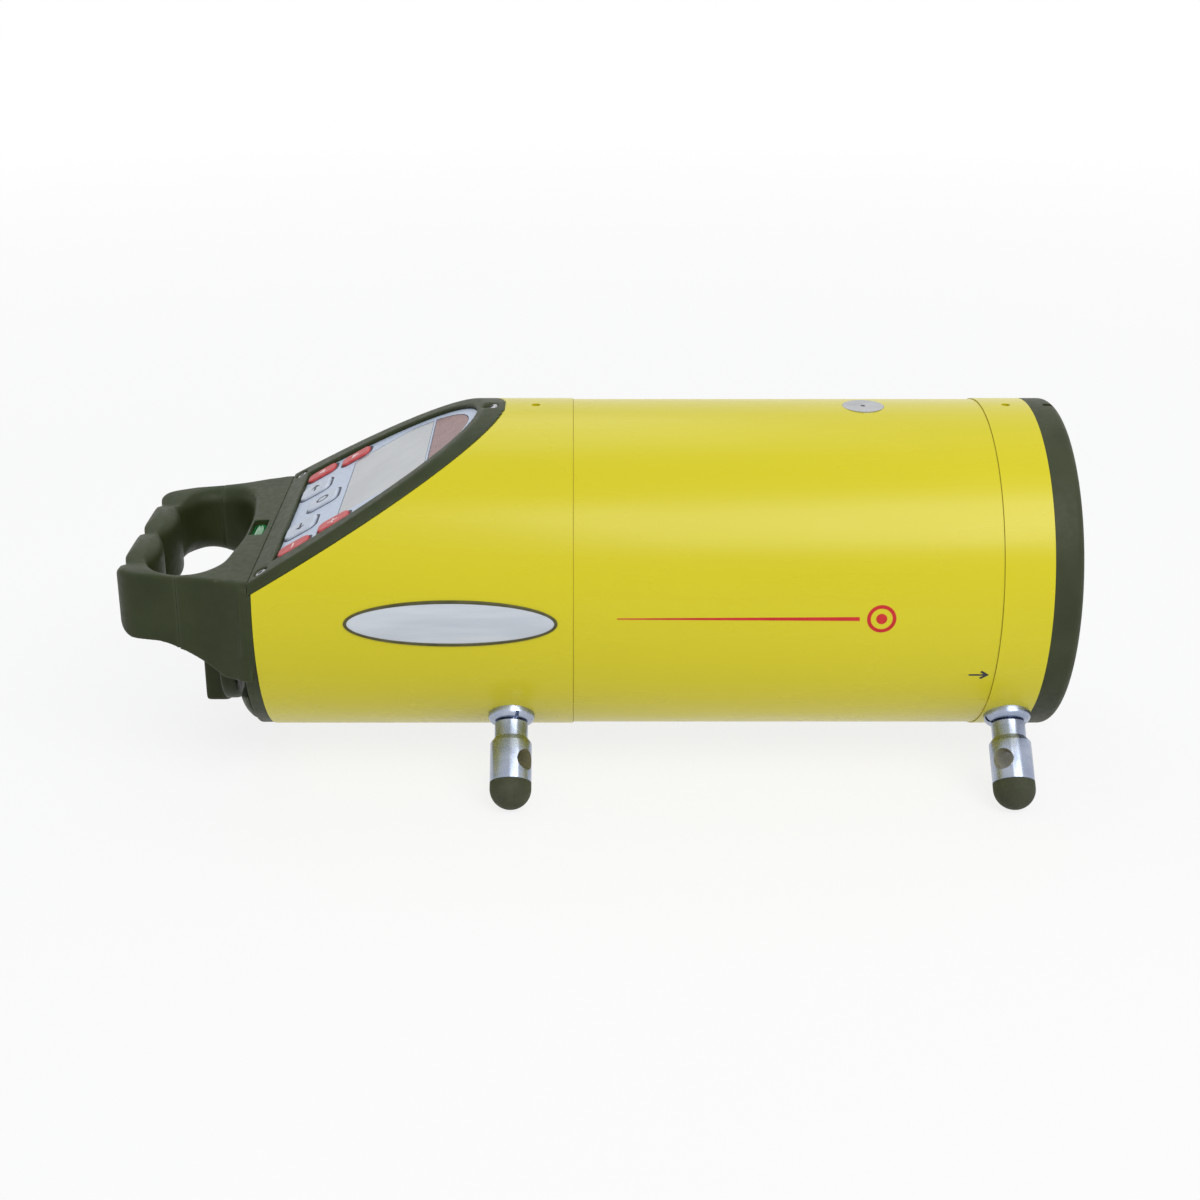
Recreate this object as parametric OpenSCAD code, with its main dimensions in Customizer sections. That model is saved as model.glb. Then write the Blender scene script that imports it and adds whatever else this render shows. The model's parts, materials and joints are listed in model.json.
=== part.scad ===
// Pipe laser: a sealed tube with a slanted control panel, a carrying handle at the rear
// and four short screw-in legs that centre it in a pipe.
// Millimetres. The pieces are drawn round the body axis, with X = 0 at the rear seam and
// +X towards the beam exit. They are then placed with the origin under the middle, at the feet.

/* [Body] */
// Outside diameter of the rear housing, the front ring and the front rim
body_d = 96; // [92:0.5:104]
// Wall of the rear housing
body_wall = 3.5; // [2.5:0.1:4]
// Outside diameter of the main tube
tube_d = 95.4; // [93:0.2:100]
// Wall of the main tube
tube_wall = 3; // [2:0.1:4]
// Length of the rear housing, from its rear face to the rear seam
rear_len = 88.5; // [86:0.5:100]
// Thickness of the rear housing's rear wall
rear_wall = 3; // [2.5:0.1:4]
// Length of the main tube
tube_len = 117; // [110:1:130]
// Length of the front ring that carries the front legs
ring_len = 13.6; // [13:0.1:20]
// Length of the front rim
rim_len = 8.3; // [6:0.1:12]
// Rounding of the front rim's outer edge
rim_round = 2.5; // [1:0.1:4]
// Width of the front rim, measured across its front face
rim_width = 7; // [5:0.5:9]
// Length of the spigots that enter the main tube
spigot_len = 8; // [6:0.5:10]
// Wall of the rear spigot
spigot_wall = 5; // [4.6:0.1:6]
// Length of the thick root behind the rear spigot
root_len = 26; // [25:0.5:27]

/* [Window] */
// Clear diameter of the beam opening
aperture_d = 72; // [60:1:74]
// Width of the ledge that the window glass seats on
window_ledge = 3.5; // [2:0.1:4]
// Thickness of the window glass
glass_t = 4; // [3:0.1:5]
// Thickness of the window gasket
gasket_t = 0.8; // [0.5:0.1:1.2]
// Thickness of the window's threaded retaining ring
retainer_t = 3.7; // [2.5:0.1:4]

/* [Control panel] */
// Slope of the panel, from the body axis
slope = 30; // [28:0.5:33]
// Length of the slope along the body axis, up to the rear face
slope_run = 69.5; // [68:0.5:71]
// Wall under the panel
panel_wall = 3; // [2.5:0.1:3.5]
// Height of the panel frame above the slope
bezel_t = 3; // [2.6:0.1:3.5]
// Half the greatest width of the panel opening's oval
panel_half = 38; // [36:0.2:39.5]
// Distance from the top of the slope to the tip of the panel opening
panel_apex = 8.5; // [8:0.1:10]
// Distance from the top of the slope to the straight rear edge of the opening
panel_end = 72; // [69:0.5:73]
// Distance of the frame's rear screws outside the opening
screw_margin = 3.2; // [3:0.1:3.6]
// Width of the ledge under the keypad plate
panel_ledge = 2.5; // [2:0.1:3]
// Thickness of the keypad plate
keypad_t = 1.8; // [1.5:0.1:2]
// Height of a key's face above the keypad plate
key_rise = 0.7; // [0.6:0.05:0.9]
// Travel of a key
key_travel = 0.6; // [0.3:0.05:0.6]
// Thickness of a key's cap
key_cap_t = 1.5; // [1.3:0.1:1.5]
// Width of a side key across the panel
side_key_w = 6.8; // [5:0.1:7.2]
// Width of a middle key across the panel
mid_key_w = 10; // [8:0.1:10.5]
// Length of a key down the slope
key_l = 10; // [8:0.1:11]
// Rounding of a key's corners
key_round = 2.2; // [1:0.1:2.5]
// Distance from the centre line to the outer middle keys
mid_key_y = 16.5; // [15:0.1:18]
// How far the centre key stands above its neighbours, up the slope
centre_key_up = 5; // [4:0.1:6]
// Spacing of the side keys along the slope
side_key_pitch = 12.7; // [11.5:0.1:14]
// Border between the outermost keys and the opening
key_border = 1.2; // [1:0.1:2]
// Width of the display window
lcd_w = 48.6; // [40:0.2:49]
// Length of the display window down the slope
lcd_l = 28; // [24:0.5:29]
// Distance from the top of the slope to the display window
lcd_start = 25.1; // [25:0.1:28]
// Border between the display window and the opening
lcd_border = 4; // [3.6:0.1:5]
// Distance from the top of the slope to the lower edge of the receiver window
ir_end = 24; // [20:0.5:24]
// Border between the receiver window and the opening
ir_border = 3.5; // [3:0.1:5]
// Thickness of the display's circuit board
board_t = 1.6; // [1:0.1:2]
// Depth of the gap between the keypad plate and its circuit board
board_drop = 1.4; // [1.4:0.1:1.8]

/* [Handle] */
// Thickness of the rear cover's plate
cover_t = 2.7; // [2:0.1:4]
// Length of the rear cover's lip, which laps over the rear housing
lip_len = 1.1; // [0.8:0.1:1.5]
// Thickness of that lip
lip_t = 1.2; // [1:0.1:1.5]
// Distance from the rear housing to the rearmost point of the grip
handle_len = 39.7; // [38:0.5:44]
// Half the handle's width at the body, as its tapered sides would meet it
handle_half = 44.2; // [43:0.2:44.8]
// Taper of the handle's sides, towards the rear
handle_taper = 13.5; // [12:0.5:15]
// Length over which the handle's sides sweep out to the body
handle_sweep = 14; // [10:0.5:18]
// Rounding of the handle's rear corners, seen from above
handle_corner = 9; // [6:0.5:11]
// Drop of the handle's top from the body to the grip
deck_drop = 1; // [0.5:0.1:2]
// Rounding of the grip's lower rear edge
grip_under = 5; // [3:0.5:7]
// Rounding of the grip's upper rear edge
grip_over = 3.5; // [2:0.5:5]
// How far the grip reaches below the rest of the handle's level underside
grip_drop = 0.9; // [0.5:0.1:1.5]
// How far the arms reach below the grip where they meet the body
arm_drop = 9.5; // [9:0.5:13]
// Distance from the rear housing to the middle of the finger hole
hole_back = 19.5; // [18.5:0.5:20.5]
// Half the finger hole's length, across the handle
hole_half = 33.5; // [30:0.5:34]
// Half the finger hole's width, along the handle
hole_width = 12.2; // [11:0.2:13]
// Squareness of the finger hole's oval
hole_power = 2.4; // [2:0.1:3]
// Spacing of the finger swells on the grip
lobe_pitch = 24.3; // [20:0.1:26]
// Radius of each finger swell inside the finger hole
lobe_r = 28; // [24:1:44]
// Radius of each finger swell at the back and the top of the grip
swell_r = 42; // [40:1:80]
// Thickness of the grip at a finger swell
lobe_t = 9.2; // [8:0.1:10]
// Distance from the rear housing to the joint between arms and grip
grip_joint = 21; // [20:0.5:22]
// Diameter of the pins between the arms and the grip
pin_d = 2.4; // [1.6:0.1:3]
// Length of each pin on either side of the joint
pin_half = 6; // [4:0.5:7]
// Diameter of the status lamp
lamp_d = 3; // [2:0.1:3.5]
// Depth of the lamp's recess
lamp_depth = 2.2; // [1:0.1:2.5]

/* [Battery] */
// Radius of the battery's rounded sides
pack_r = 13.5; // [12:0.1:14]
// Distance from the centre line to each rounded side's axis
pack_half = 14.5; // [12:0.1:15]
// Wall of the battery bay
bay_wall = 1.2; // [1:0.1:1.6]
// Lap of the battery's end plate over the bay's mouth
plate_lap = 1.8; // [1.5:0.1:2]
// How far the battery's end plate laps over the top edge of its opening
plate_top_lap = 0.9; // [0.8:0.1:1.8]
// Thickness of the end plate
plate_t = 2.8; // [2:0.1:3.5]
// Depth of the plug behind the end plate
plug_len = 5; // [4:0.5:7]
// Diameter of the locking knob's base
knob_d = 24.6; // [20:0.2:25]
// Thickness of the knob's base
knob_t = 5; // [4:0.5:6]
// Gap between the end plate and the knob's base
knob_stand = 5.8; // [4:0.2:7]
// Length of the knob's finger bar
knob_bar = 26.4; // [22:0.2:27]
// Width of the knob's finger bar
knob_bar_w = 8; // [6:0.5:10]
// Height of the knob's finger bar
knob_bar_h = 6.2; // [5:0.1:8]
// How far the knob sits below the battery's middle
knob_low = 6.5; // [5:0.5:7]
// Diameter of the knob's shaft
knob_shaft_d = 6; // [5:0.2:7]

/* [Legs] */
// Angle of each leg from straight down
leg_angle = 45; // [35:1:50]
// Distance of the rear legs behind the rear seam
leg_back = 17.6; // [16:0.1:24]
// Distance of the front legs ahead of the front ring's middle
leg_ahead = 0.4; // [0:0.1:1]
// Diameter of a leg's body and of its rubber tip
leg_d = 11.8; // [10:0.2:13]
// Diameter of a leg's neck
leg_neck_d = 9.5; // [7:0.1:9.6]
// Length of a leg's neck
leg_neck_len = 4.6; // [3:0.1:8]
// Length of the cone between the neck and the body
leg_cone_len = 1.5; // [1:0.1:3]
// Length of a leg's cylindrical body
leg_body_len = 11.5; // [10:0.5:40]
// Straight length of the rubber tip
tip_len = 1.7; // [1:0.1:3]
// Diameter of the tommy-bar hole across a leg
cross_d = 6; // [4:0.1:7]
// Distance of the tommy-bar hole below the top of the leg's cylindrical body
cross_drop = 5.7; // [5:0.1:7]
// Diameter of the leg's screw stud
stud_d = 6; // [5:0.1:7]
// Diameter of the leg socket's collar
collar_d = 13.2; // [12:0.1:13.4]
// Height of the collar above the body
collar_h = 2.5; // [2:0.1:4]
// Width of the spanner slot across the collar
collar_slot = 1; // [0.6:0.1:1.5]
// Diameter of the leg socket inside the wall
socket_d = 10; // [9:0.1:10.5]
// Depth of the leg socket below the body's surface
socket_depth = 4.5; // [4:0.1:5]

/* [Beam unit] */
// Distance of the beam's pivot in front of the rear seam
pivot_x = 83.3; // [80:0.5:86]
// Diameter of the inlaid disc that marks the pivot
mark_d = 11.8; // [8:0.1:13]
// Depth of that disc
mark_t = 1; // [0.6:0.1:1.5]
// Diameter of the laser barrel
barrel_d = 24; // [22:0.5:25]
// Length of the laser barrel behind the pivot
barrel_back = 63; // [56:1:66]
// Length of the laser barrel in front of the pivot
barrel_front = 24; // [18:1:24]
// Diameter of the tilt pins
trunnion_d = 6; // [4:0.5:7]
// Thickness of the yoke's cheeks
cheek_t = 4; // [3:0.5:5]
// Diameter of the line pivot pin
line_pin_d = 8; // [6:0.5:10]
// Distance from the pivot back to the grade actuator
grade_arm = 43.3; // [40:0.5:46]
// Diameter of the grade actuator
actuator_d = 14; // [12:0.5:15]
// Diameter of the grade actuator's rod
rod_d = 4; // [3:0.2:5]
// Distance from the pivot back to the line actuator
line_arm = 33.3; // [31:0.5:36]
// Thickness of the chassis plate and its rings
chassis_t = 4; // [3:0.5:5]
// Width of the chassis rings
chassis_ring = 10.5; // [9:0.5:12]

/* [Fits] */
// Radial gap of a turning or sliding fit
run_gap = 0.05; // [0.02:0.01:0.1]
// Gap round a piece that is fixed in a pocket
seat_gap = 0.05; // [0.02:0.01:0.15]
// Gap round a key, a window or the battery
slip_gap = 0.25; // [0.15:0.05:0.4]
// Gap between pieces that move past each other
clear_gap = 0.35; // [0.3:0.05:0.5]
// Radius of the tapped holes on the top line
tap_r = 1.25; // [1:0.05:1.65]
// Depth of the tapped holes on the top line
tap_depth = 6; // [4:0.5:7]
// Diameter of the small screws' shanks
screw_d = 2; // [1.6:0.1:2.4]
// Diameter of the small screws' heads
screw_head_d = 3.6; // [3:0.1:3.8]

/* [Hidden] */
$fn = 96;
BIG = 400;
OUTLINE_STEPS = 20;
ARC_STEPS = 8;
body_r = body_d / 2;
tube_r = tube_d / 2;
tube_in = tube_r - tube_wall;
inner_r = body_r - body_wall;
spigot_r = tube_in - seat_gap;
throat_r = spigot_r - spigot_wall;
ring_x = tube_len;
rim_x = ring_x + ring_len;
front_x = rim_x + rim_len;
cover_x = -rear_len - cover_t;
cover_r = body_r - 0.2;
grip_x = -rear_len - handle_len;

// Height of the handle's top at the body, level with the panel frame's rear edge
slope_start = rear_len - slope_run;
bezel_end_v = (slope_run - bezel_t * sin(slope)) / cos(slope);
deck_z = body_r - bezel_end_v * sin(slope) + bezel_t * cos(slope);

// Battery, end plate and knob
bay_margin = 0.5;
pack_gap = slip_gap + 0.15;
pack_ring = inner_r - bay_margin - bay_wall - pack_gap - pack_r;
pack_z = -sqrt(pack_ring * pack_ring - pack_half * pack_half);
plate_gap = 0.6;
plate_half = pack_half + pack_r + pack_gap + plate_lap;
plate_top = pack_z + pack_r + pack_gap + plate_top_lap;
plate_x = cover_x - clear_gap;
plate_r = body_r - 1.4;
plate_chamfer = 1.6;
plug_gap = 0.3;
pack_x = plate_x + cover_t + plug_len;
bay_end_x = -root_len - bay_margin;
contact_r = 3;
contact_l = 6.5;
pack_len = bay_end_x - bay_wall - contact_l - clear_gap - pack_x;
knob_z = pack_z - knob_low;
knob_x = plate_x - plate_t - knob_stand;
clip_t = 1;
clip_r = knob_shaft_d / 2 + 2;

// Handle
grip_z = plate_top + plate_gap;
handle_z = grip_z + grip_drop;
gusset_y = plate_half + plate_gap;
arm_z = handle_z - arm_drop;
shoulder_gap = 8.3;
plate_shoulder = arm_z - shoulder_gap;
joint_x = -rear_len - grip_joint;
lobe_sag = lobe_r - sqrt(lobe_r * lobe_r - lobe_pitch * lobe_pitch / 4);
swell_sag = swell_r - sqrt(swell_r * swell_r - lobe_pitch * lobe_pitch / 4);
LOBES = [-1.5 * lobe_pitch, -lobe_pitch / 2, lobe_pitch / 2, 1.5 * lobe_pitch];
hole_x = -rear_len - hole_back;
hole_rear = hole_x - grip_x - lobe_t + lobe_sag + 1.5;
deck_end = deck_z - deck_drop;
deck_half = sqrt(cover_r * cover_r - deck_z * deck_z);
sweep_from = -rear_len - 28;
sweep_to = -rear_len - 8.5;
sweep_power = 1.6;
pin_rise = 5;
lamp_x = -rear_len - 3.8;
lamp_seat_z = deck_z - lamp_depth - 2;

// Panel
keypad_top = keypad_t;
key_top = keypad_top + key_rise;
key_under = key_top - key_cap_t;
board_top = -board_drop;
stem_r = 1.4;
stem_end = board_top + key_travel + 0.2;
low_v = panel_end - key_border / 2 - key_l / 2;
high_v = low_v - side_key_pitch;
boss_r = 1.3;
bezel_screw_v = panel_end + screw_margin;
bezel_screw_y = panel_half + screw_margin;
apex_screw_v = panel_apex / 2;
recess_gap = 0.3;
head_t = 1.2;
bezel_bore = 5;

// Legs, as [distance along the body, side, turn of the tommy-bar hole, turn of the collar's slot]
ring_leg_x = ring_x + ring_len / 2 + leg_ahead;
LEG_REAR_RIGHT = [-leg_back, -1, 50, -17];
LEG_REAR_LEFT = [-leg_back, 1, 15, 30];
LEG_FRONT_RIGHT = [ring_leg_x, -1, -38, 80];
LEG_FRONT_LEFT = [ring_leg_x, 1, 60, -50];
LEGS = [LEG_REAR_RIGHT, LEG_REAR_LEFT, LEG_FRONT_RIGHT, LEG_FRONT_LEFT];
leg_r = leg_d / 2;
collar_end = body_r + collar_h;
stud_end = body_r - socket_depth + 1;
neck_at = collar_end + clear_gap;
cone_at = neck_at + leg_neck_len;
shaft_at = cone_at + leg_cone_len;
tip_at = shaft_at + leg_body_len;
tip_centre = tip_at + tip_len;
spigot_tip_r = leg_r - 2.4;
spigot_tip_len = 3;
axis_z = tip_centre * cos(leg_angle) + leg_r;
middle_x = (front_x + grip_x) / 2;

// Top line
seal_r = 0.9;
rear_tap_x = -0.56 * slope_start;
front_tap_x = ring_leg_x;
rim_slot_l = 4;
rim_slot_w = 2;

// Keys, as [place across the panel, place down the slope, width]
KEY_LEFT_LOW = [side_y(low_v), low_v, side_key_w];
KEY_LEFT_HIGH = [side_y(high_v), high_v, side_key_w];
KEY_LEFT = [mid_key_y, low_v, mid_key_w];
KEY_CENTRE = [0, low_v - centre_key_up, mid_key_w];
KEY_RIGHT = [-mid_key_y, low_v, mid_key_w];
KEY_RIGHT_HIGH = [-side_y(high_v), high_v, side_key_w];
KEY_RIGHT_LOW = [-side_y(low_v), low_v, side_key_w];
KEYS = [KEY_LEFT_LOW, KEY_LEFT_HIGH, KEY_LEFT, KEY_CENTRE, KEY_RIGHT, KEY_RIGHT_HIGH, KEY_RIGHT_LOW];

// Beam unit
ring_in = spigot_r - chassis_ring;
chassis_r = tube_in - seat_gap;
rear_ring_x = spigot_len;
front_ring_x = ring_x - spigot_len - chassis_t;
bench_half = 27;
bench_z = -sqrt(pow(chassis_r - 1, 2) - pow(bench_half, 2)) + chassis_t;
barrel_r = barrel_d / 2;
yoke_z = bench_z + 0.5;
yoke_t = 4;
yoke_top = yoke_z + yoke_t;
yoke_half = barrel_r - 1;
cheek_y = barrel_r + 4;
cheek_half = 7.3;
trunnion_r = trunnion_d / 2;
grade_x = pivot_x - grade_arm;
grade_y = barrel_r + 1.5 + actuator_d / 2;
actuator_r = actuator_d / 2;
rod_r = rod_d / 2;
lug_z = 8;
lug_t = 3;
actuator_top = lug_z - 16;
rod_end = yoke_top + 11.5;
line_x = pivot_x - line_arm;
line_rod_r = 1.5;
line_z = yoke_top + 2.6;
line_face = -yoke_half;
line_body_y = line_face - 4;
line_body_l = 13;
line_body_half = 6;
lens_r = barrel_r - 2;
lens_t = 4;
diode_r = 4.5;
diode_l = 8;
vial_l = 24;
vial_w = 10;
vial_h = 8;
pad_z = barrel_r + 1;
joint_r = spigot_r - 3;
joint_screw_l = 8;
main_board_l = 40;
main_board_w = 52;
main_board_post = 2;

// Half the panel opening's width at a distance v down the slope, drawn in by an inset
function oval_a(inset) = (panel_half - inset) / sin(slope);
function oval_v(inset) = panel_apex + inset + oval_a(inset);
function oval_half(v, inset) =
    (panel_half - inset) * sqrt(1 - pow((oval_v(inset) - v) / oval_a(inset), 2));
function side_y(v) = oval_half(v - key_l / 2, 0) - key_border - side_key_w / 2;

// Outline of the panel opening, a cut-off oval, ending at the distance v_end down the slope
function panel_points(inset, v_end) =
    let (turn = acos((oval_v(inset) - v_end) / oval_a(inset)))
    [for (i = [-OUTLINE_STEPS : OUTLINE_STEPS])
        let (p = turn * i / OUTLINE_STEPS)
        [oval_a(inset) * cos(p) - oval_v(inset), (panel_half - inset) * sin(p)]];

function arc_points(x, y, r, from, to) =
    [for (i = [0 : ARC_STEPS])
        let (a = from + (to - from) * i / ARC_STEPS)
        [x + r * cos(a), y + r * sin(a)]];

function mirrored(points) = [for (i = [len(points) - 1 : -1 : 0]) [points[i][0], -points[i][1]]];

// Outline of the handle from above: tapered sides that spread to the body, and rounded corners
function handle_half_at(x) = handle_half + (x + rear_len) * tan(handle_taper);
function corner_y() =
    handle_half_at(grip_x + handle_corner) - handle_corner / cos(handle_taper);
function swept_half(t) =
    handle_half_at(cover_x - t * handle_sweep) + (deck_half - handle_half_at(cover_x)) * pow(1 - t, 2);
function handle_side() = concat(
    [[-rear_len, deck_half]],
    [for (i = [0 : ARC_STEPS]) [cover_x - handle_sweep * i / ARC_STEPS, swept_half(i / ARC_STEPS)]],
    arc_points(grip_x + handle_corner, corner_y(), handle_corner, 90 + handle_taper, 180));
function handle_points() = concat(handle_side(), mirrored(handle_side()));

// Outline of the finger hole: a slightly squared oval, deeper at the grip
function oval_power(c) = sign(c) * pow(abs(c), 2 / hole_power);
function hole_points() =
    [for (i = [0 : 4 * OUTLINE_STEPS - 1])
        let (a = 90 * i / OUTLINE_STEPS)
        let (reach = cos(a) > 0 ? hole_width : hole_rear)
        [hole_x + reach * oval_power(cos(a)), hole_half * oval_power(sin(a))]];

// Side view of the handle. The arms sweep down to the body, the grip's underside is level.
function sweep_points() =
    [for (i = [0 : 2 * ARC_STEPS])
        let (t = i / (2 * ARC_STEPS))
        [sweep_from + t * (sweep_to - sweep_from), grip_z + pow(t, sweep_power) * (arm_z - grip_z)]];
function side_points(tail) = concat(
    [[-rear_len, deck_z], [joint_x, deck_end]],
    arc_points(grip_x + grip_over, deck_end - grip_over, grip_over, 90, 180),
    arc_points(grip_x + grip_under, grip_z + grip_under, grip_under, 180, 270),
    tail);
function level_tail() = [[joint_x, grip_z], [sweep_to, handle_z], [-rear_len, handle_z]];
function arm_tail() = concat(sweep_points(), [[-rear_len, arm_z]]);

module placed() {
    translate([-middle_x, 0, axis_z])
        children();
}

// A cylinder along the body axis
module axial(x0, x1, r) {
    translate([x0, 0, 0])
        rotate([0, 90, 0])
            cylinder(h = x1 - x0, r = r);
}

module axial_at(x0, x1, r, y, z) {
    translate([0, y, z])
        axial(x0, x1, r);
}

module axial_ring(x0, x1, r_out, r_in) {
    difference() {
        axial(x0, x1, r_out);
        axial(x0 - 1, x1 + 1, r_in);
    }
}

// Frame of the slope: +X up the slope from its top, +Z out of the panel
module slope_frame() {
    translate([-slope_start, 0, body_r])
        rotate([0, -slope, 0])
            children();
}

module below_slope(h) {
    slope_frame()
        translate([-BIG / 2, -BIG / 2, h - BIG])
            cube(BIG);
}

module panel_prism(inset, v_end, h0, h1) {
    slope_frame()
        translate([0, 0, h0])
            linear_extrude(h1 - h0)
                polygon(panel_points(inset, v_end));
}

// A block on the panel with rounded corners: l down the slope, w across
module panel_block(y, v, l, w, r, h0, h1) {
    slope_frame()
        translate([-v, y, h0])
            linear_extrude(h1 - h0)
                rounded(l, w, r);
}

module rounded(l, w, r) {
    square([l - 2 * r, w], center = true);
    square([l, w - 2 * r], center = true);
    for (x = [-1, 1], y = [-1, 1])
        translate([x * (l / 2 - r), y * (w / 2 - r)])
            circle(r);
}

module panel_pin(y, v, r, h0, h1) {
    slope_frame()
        translate([-v, y, h0])
            cylinder(h = h1 - h0, r = r);
}

// Section of the battery, grown by a gap or a wall, along the body axis
module pack_prism(x0, x1, grow) {
    translate([0, 0, pack_z]) {
        for (y = [-pack_half, pack_half])
            axial_at(x0, x1, pack_r + grow, y, 0);
        translate([x0, -pack_half, -pack_r - grow])
            cube([x1 - x0, 2 * pack_half, 2 * (pack_r + grow)]);
    }
}

// Frame of a leg: +Z out along the leg from the body axis
module leg_frame(leg) {
    translate([leg[0], 0, 0])
        rotate([180 + leg[1] * leg_angle, 0, 0])
            children();
}

module leg_pin(leg, r, t0, t1) {
    leg_frame(leg)
        translate([0, 0, t0])
            cylinder(h = t1 - t0, r = r);
}

module joint_places() {
    for (a = [90, 210, 330])
        translate([0, joint_r * cos(a), joint_r * sin(a)])
            children();
}

module cover_screw_places() {
    for (y = [-1, 1]) {
        translate([0, y * 18, handle_z + 8])
            children();
        translate([0, y * 37, handle_z - 9])
            children();
    }
}

module bezel_screw_places() {
    for (y = [-bezel_screw_y, bezel_screw_y])
        slope_frame()
            translate([-bezel_screw_v, y, bezel_t - head_t - recess_gap])
                children();
    slope_frame()
        translate([-apex_screw_v, 0, head_t / 2])
            children();
}

// Plan of the handle as a tall block, without its finger hole
module handle_plan() {
    translate([0, 0, -BIG / 2])
        linear_extrude(BIG)
            polygon(handle_points());
}

module handle_hole() {
    translate([0, 0, -BIG / 2])
        linear_extrude(BIG)
            polygon(hole_points());
}

module handle_side_block(tail, y0, y1) {
    translate([0, y1, 0])
        rotate([90, 0, 0])
            linear_extrude(y1 - y0)
                polygon(side_points(tail));
}

// The handle's solid form, before its finger hole and finger swells are cut
module handle_form() {
    intersection() {
        handle_plan();
        union() {
            handle_side_block(level_tail(), -BIG / 2, BIG / 2);
            handle_side_block(arm_tail(), -BIG / 2, -gusset_y);
            handle_side_block(arm_tail(), gusset_y, BIG / 2);
        }
    }
}

module behind(x) {
    translate([x - BIG, -BIG / 2, -BIG / 2])
        cube(BIG);
}

// What is cut from the back and the top of the grip between its finger swells
module swell_cuts() {
    reach = LOBES[3];
    difference() {
        translate([grip_x - 1, -reach, -BIG / 2])
            cube([swell_sag + 2, 2 * reach, BIG]);
        for (y = LOBES)
            translate([grip_x + swell_r, y, -BIG])
                cylinder(h = 2 * BIG, r = swell_r);
    }
    difference() {
        translate([grip_x - 1, -reach, deck_end - swell_sag - 1])
            cube([joint_x - grip_x + 2, 2 * reach, BIG]);
        for (y = LOBES)
            axial_at(grip_x - 2, joint_x + 2, swell_r, y, deck_end - swell_r);
    }
}

// The finger hole, with the swells standing into it
module grip_hole() {
    difference() {
        handle_hole();
        for (y = LOBES)
            translate([grip_x + lobe_t - lobe_r, y, -BIG])
                cylinder(h = 2 * BIG, r = lobe_r);
    }
}

module rear_housing() color("gold") placed() {
    difference() {
        union() {
            intersection() {
                axial(-rear_len, 0, body_r);
                below_slope(0);
            }
            axial(-1, spigot_len, spigot_r);
        }
        intersection() {
            axial(rear_wall - rear_len, -root_len, inner_r);
            below_slope(-panel_wall);
        }
        axial(-root_len - 1, spigot_len + 1, throat_r);
        panel_prism(panel_ledge, panel_end - panel_ledge, -2 * panel_wall, 1);
        pack_prism(-rear_len - 1, rear_wall - rear_len + 1, pack_gap);
        axial_ring(-rear_len - 1, lip_len + seat_gap - rear_len, body_r + 1, cover_r - lip_t - seat_gap);
        for (leg = [LEG_REAR_RIGHT, LEG_REAR_LEFT])
            leg_pin(leg, socket_d / 2 + seat_gap, body_r - socket_depth - seat_gap, body_r + 1);
        seal_groove(spigot_len / 2);
        translate([rear_tap_x, 0, body_r - tap_depth])
            cylinder(h = tap_depth + 1, r = tap_r);
        bezel_screw_places()
            bezel_screw_bore();
        joint_places()
            axial(-1, spigot_len + 1, screw_d / 2 + seat_gap);
        cover_screw_places()
            axial(-rear_len - 1, rear_wall - rear_len + 1, screw_d / 2 + seat_gap);
    }
}

// Groove for an O-ring in a spigot
module seal_groove(x) {
    axial_ring(x - 1.3 * seal_r, x + 1.3 * seal_r, spigot_r + 1, tube_in - 2 * seal_r - seat_gap);
}

module seal(x) {
    translate([x, 0, 0])
        rotate([0, 90, 0])
            rotate_extrude()
                translate([tube_in - seal_r - seat_gap / 2, 0])
                    circle(seal_r);
}

module rear_seal() color("dimgray") placed() seal(spigot_len / 2);

module front_seal() color("dimgray") placed() seal(ring_x - spigot_len / 2);

module main_tube() color("gold") placed() {
    difference() {
        axial_ring(0, tube_len, tube_r, tube_in);
        translate([pivot_x, 0, tube_r - mark_t])
            cylinder(h = mark_t + 1, d = mark_d + 2 * seat_gap);
    }
}

module pivot_mark() color("silver") placed() {
    difference() {
        translate([pivot_x, 0, tube_r - mark_t])
            cylinder(h = mark_t, d = mark_d);
        translate([pivot_x, 0, tube_r - mark_t / 2])
            cylinder(h = mark_t, r = 0.7);
    }
}

module front_ring() color("gold") placed() {
    pocket_r = aperture_d / 2 + window_ledge;
    pocket_x = rim_x - retainer_t - glass_t - gasket_t;
    difference() {
        union() {
            axial(ring_x, rim_x, body_r);
            axial(ring_x - spigot_len, ring_x + 1, spigot_r);
        }
        axial(ring_x - spigot_len - 1, rim_x + 1, aperture_d / 2);
        axial(pocket_x, rim_x + 1, pocket_r);
        for (leg = [LEG_FRONT_RIGHT, LEG_FRONT_LEFT])
            leg_pin(leg, socket_d / 2 + seat_gap, body_r - socket_depth - seat_gap, body_r + 1);
        seal_groove(ring_x - spigot_len / 2);
        translate([front_tap_x, 0, body_r - tap_depth])
            cylinder(h = tap_depth + 1, r = tap_r);
        joint_places()
            axial(ring_x - spigot_len - 1, ring_x, screw_d / 2 + seat_gap);
    }
}

module front_rim() color("darkslategray") placed() {
    difference() {
        translate([rim_x, 0, 0])
            rotate([0, 90, 0])
                rotate_extrude()
                    rim_section();
        translate([front_x - rim_slot_l, -rim_slot_w / 2, body_r - 0.8])
            cube([rim_slot_l - 1, rim_slot_w, 2]);
    }
}

// Half section of the front rim, with its outer front edge rounded
module rim_section() {
    inner = body_r - rim_width;
    translate([inner, 0])
        square([rim_width, rim_len - rim_round]);
    translate([inner, 0])
        square([rim_width - rim_round, rim_len]);
    translate([body_r - rim_round, rim_len - rim_round])
        circle(rim_round);
}

module front_window() color("lightblue", 0.5) placed() {
    axial(rim_x - retainer_t - glass_t, rim_x - retainer_t, aperture_d / 2 + window_ledge - seat_gap);
}

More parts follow.
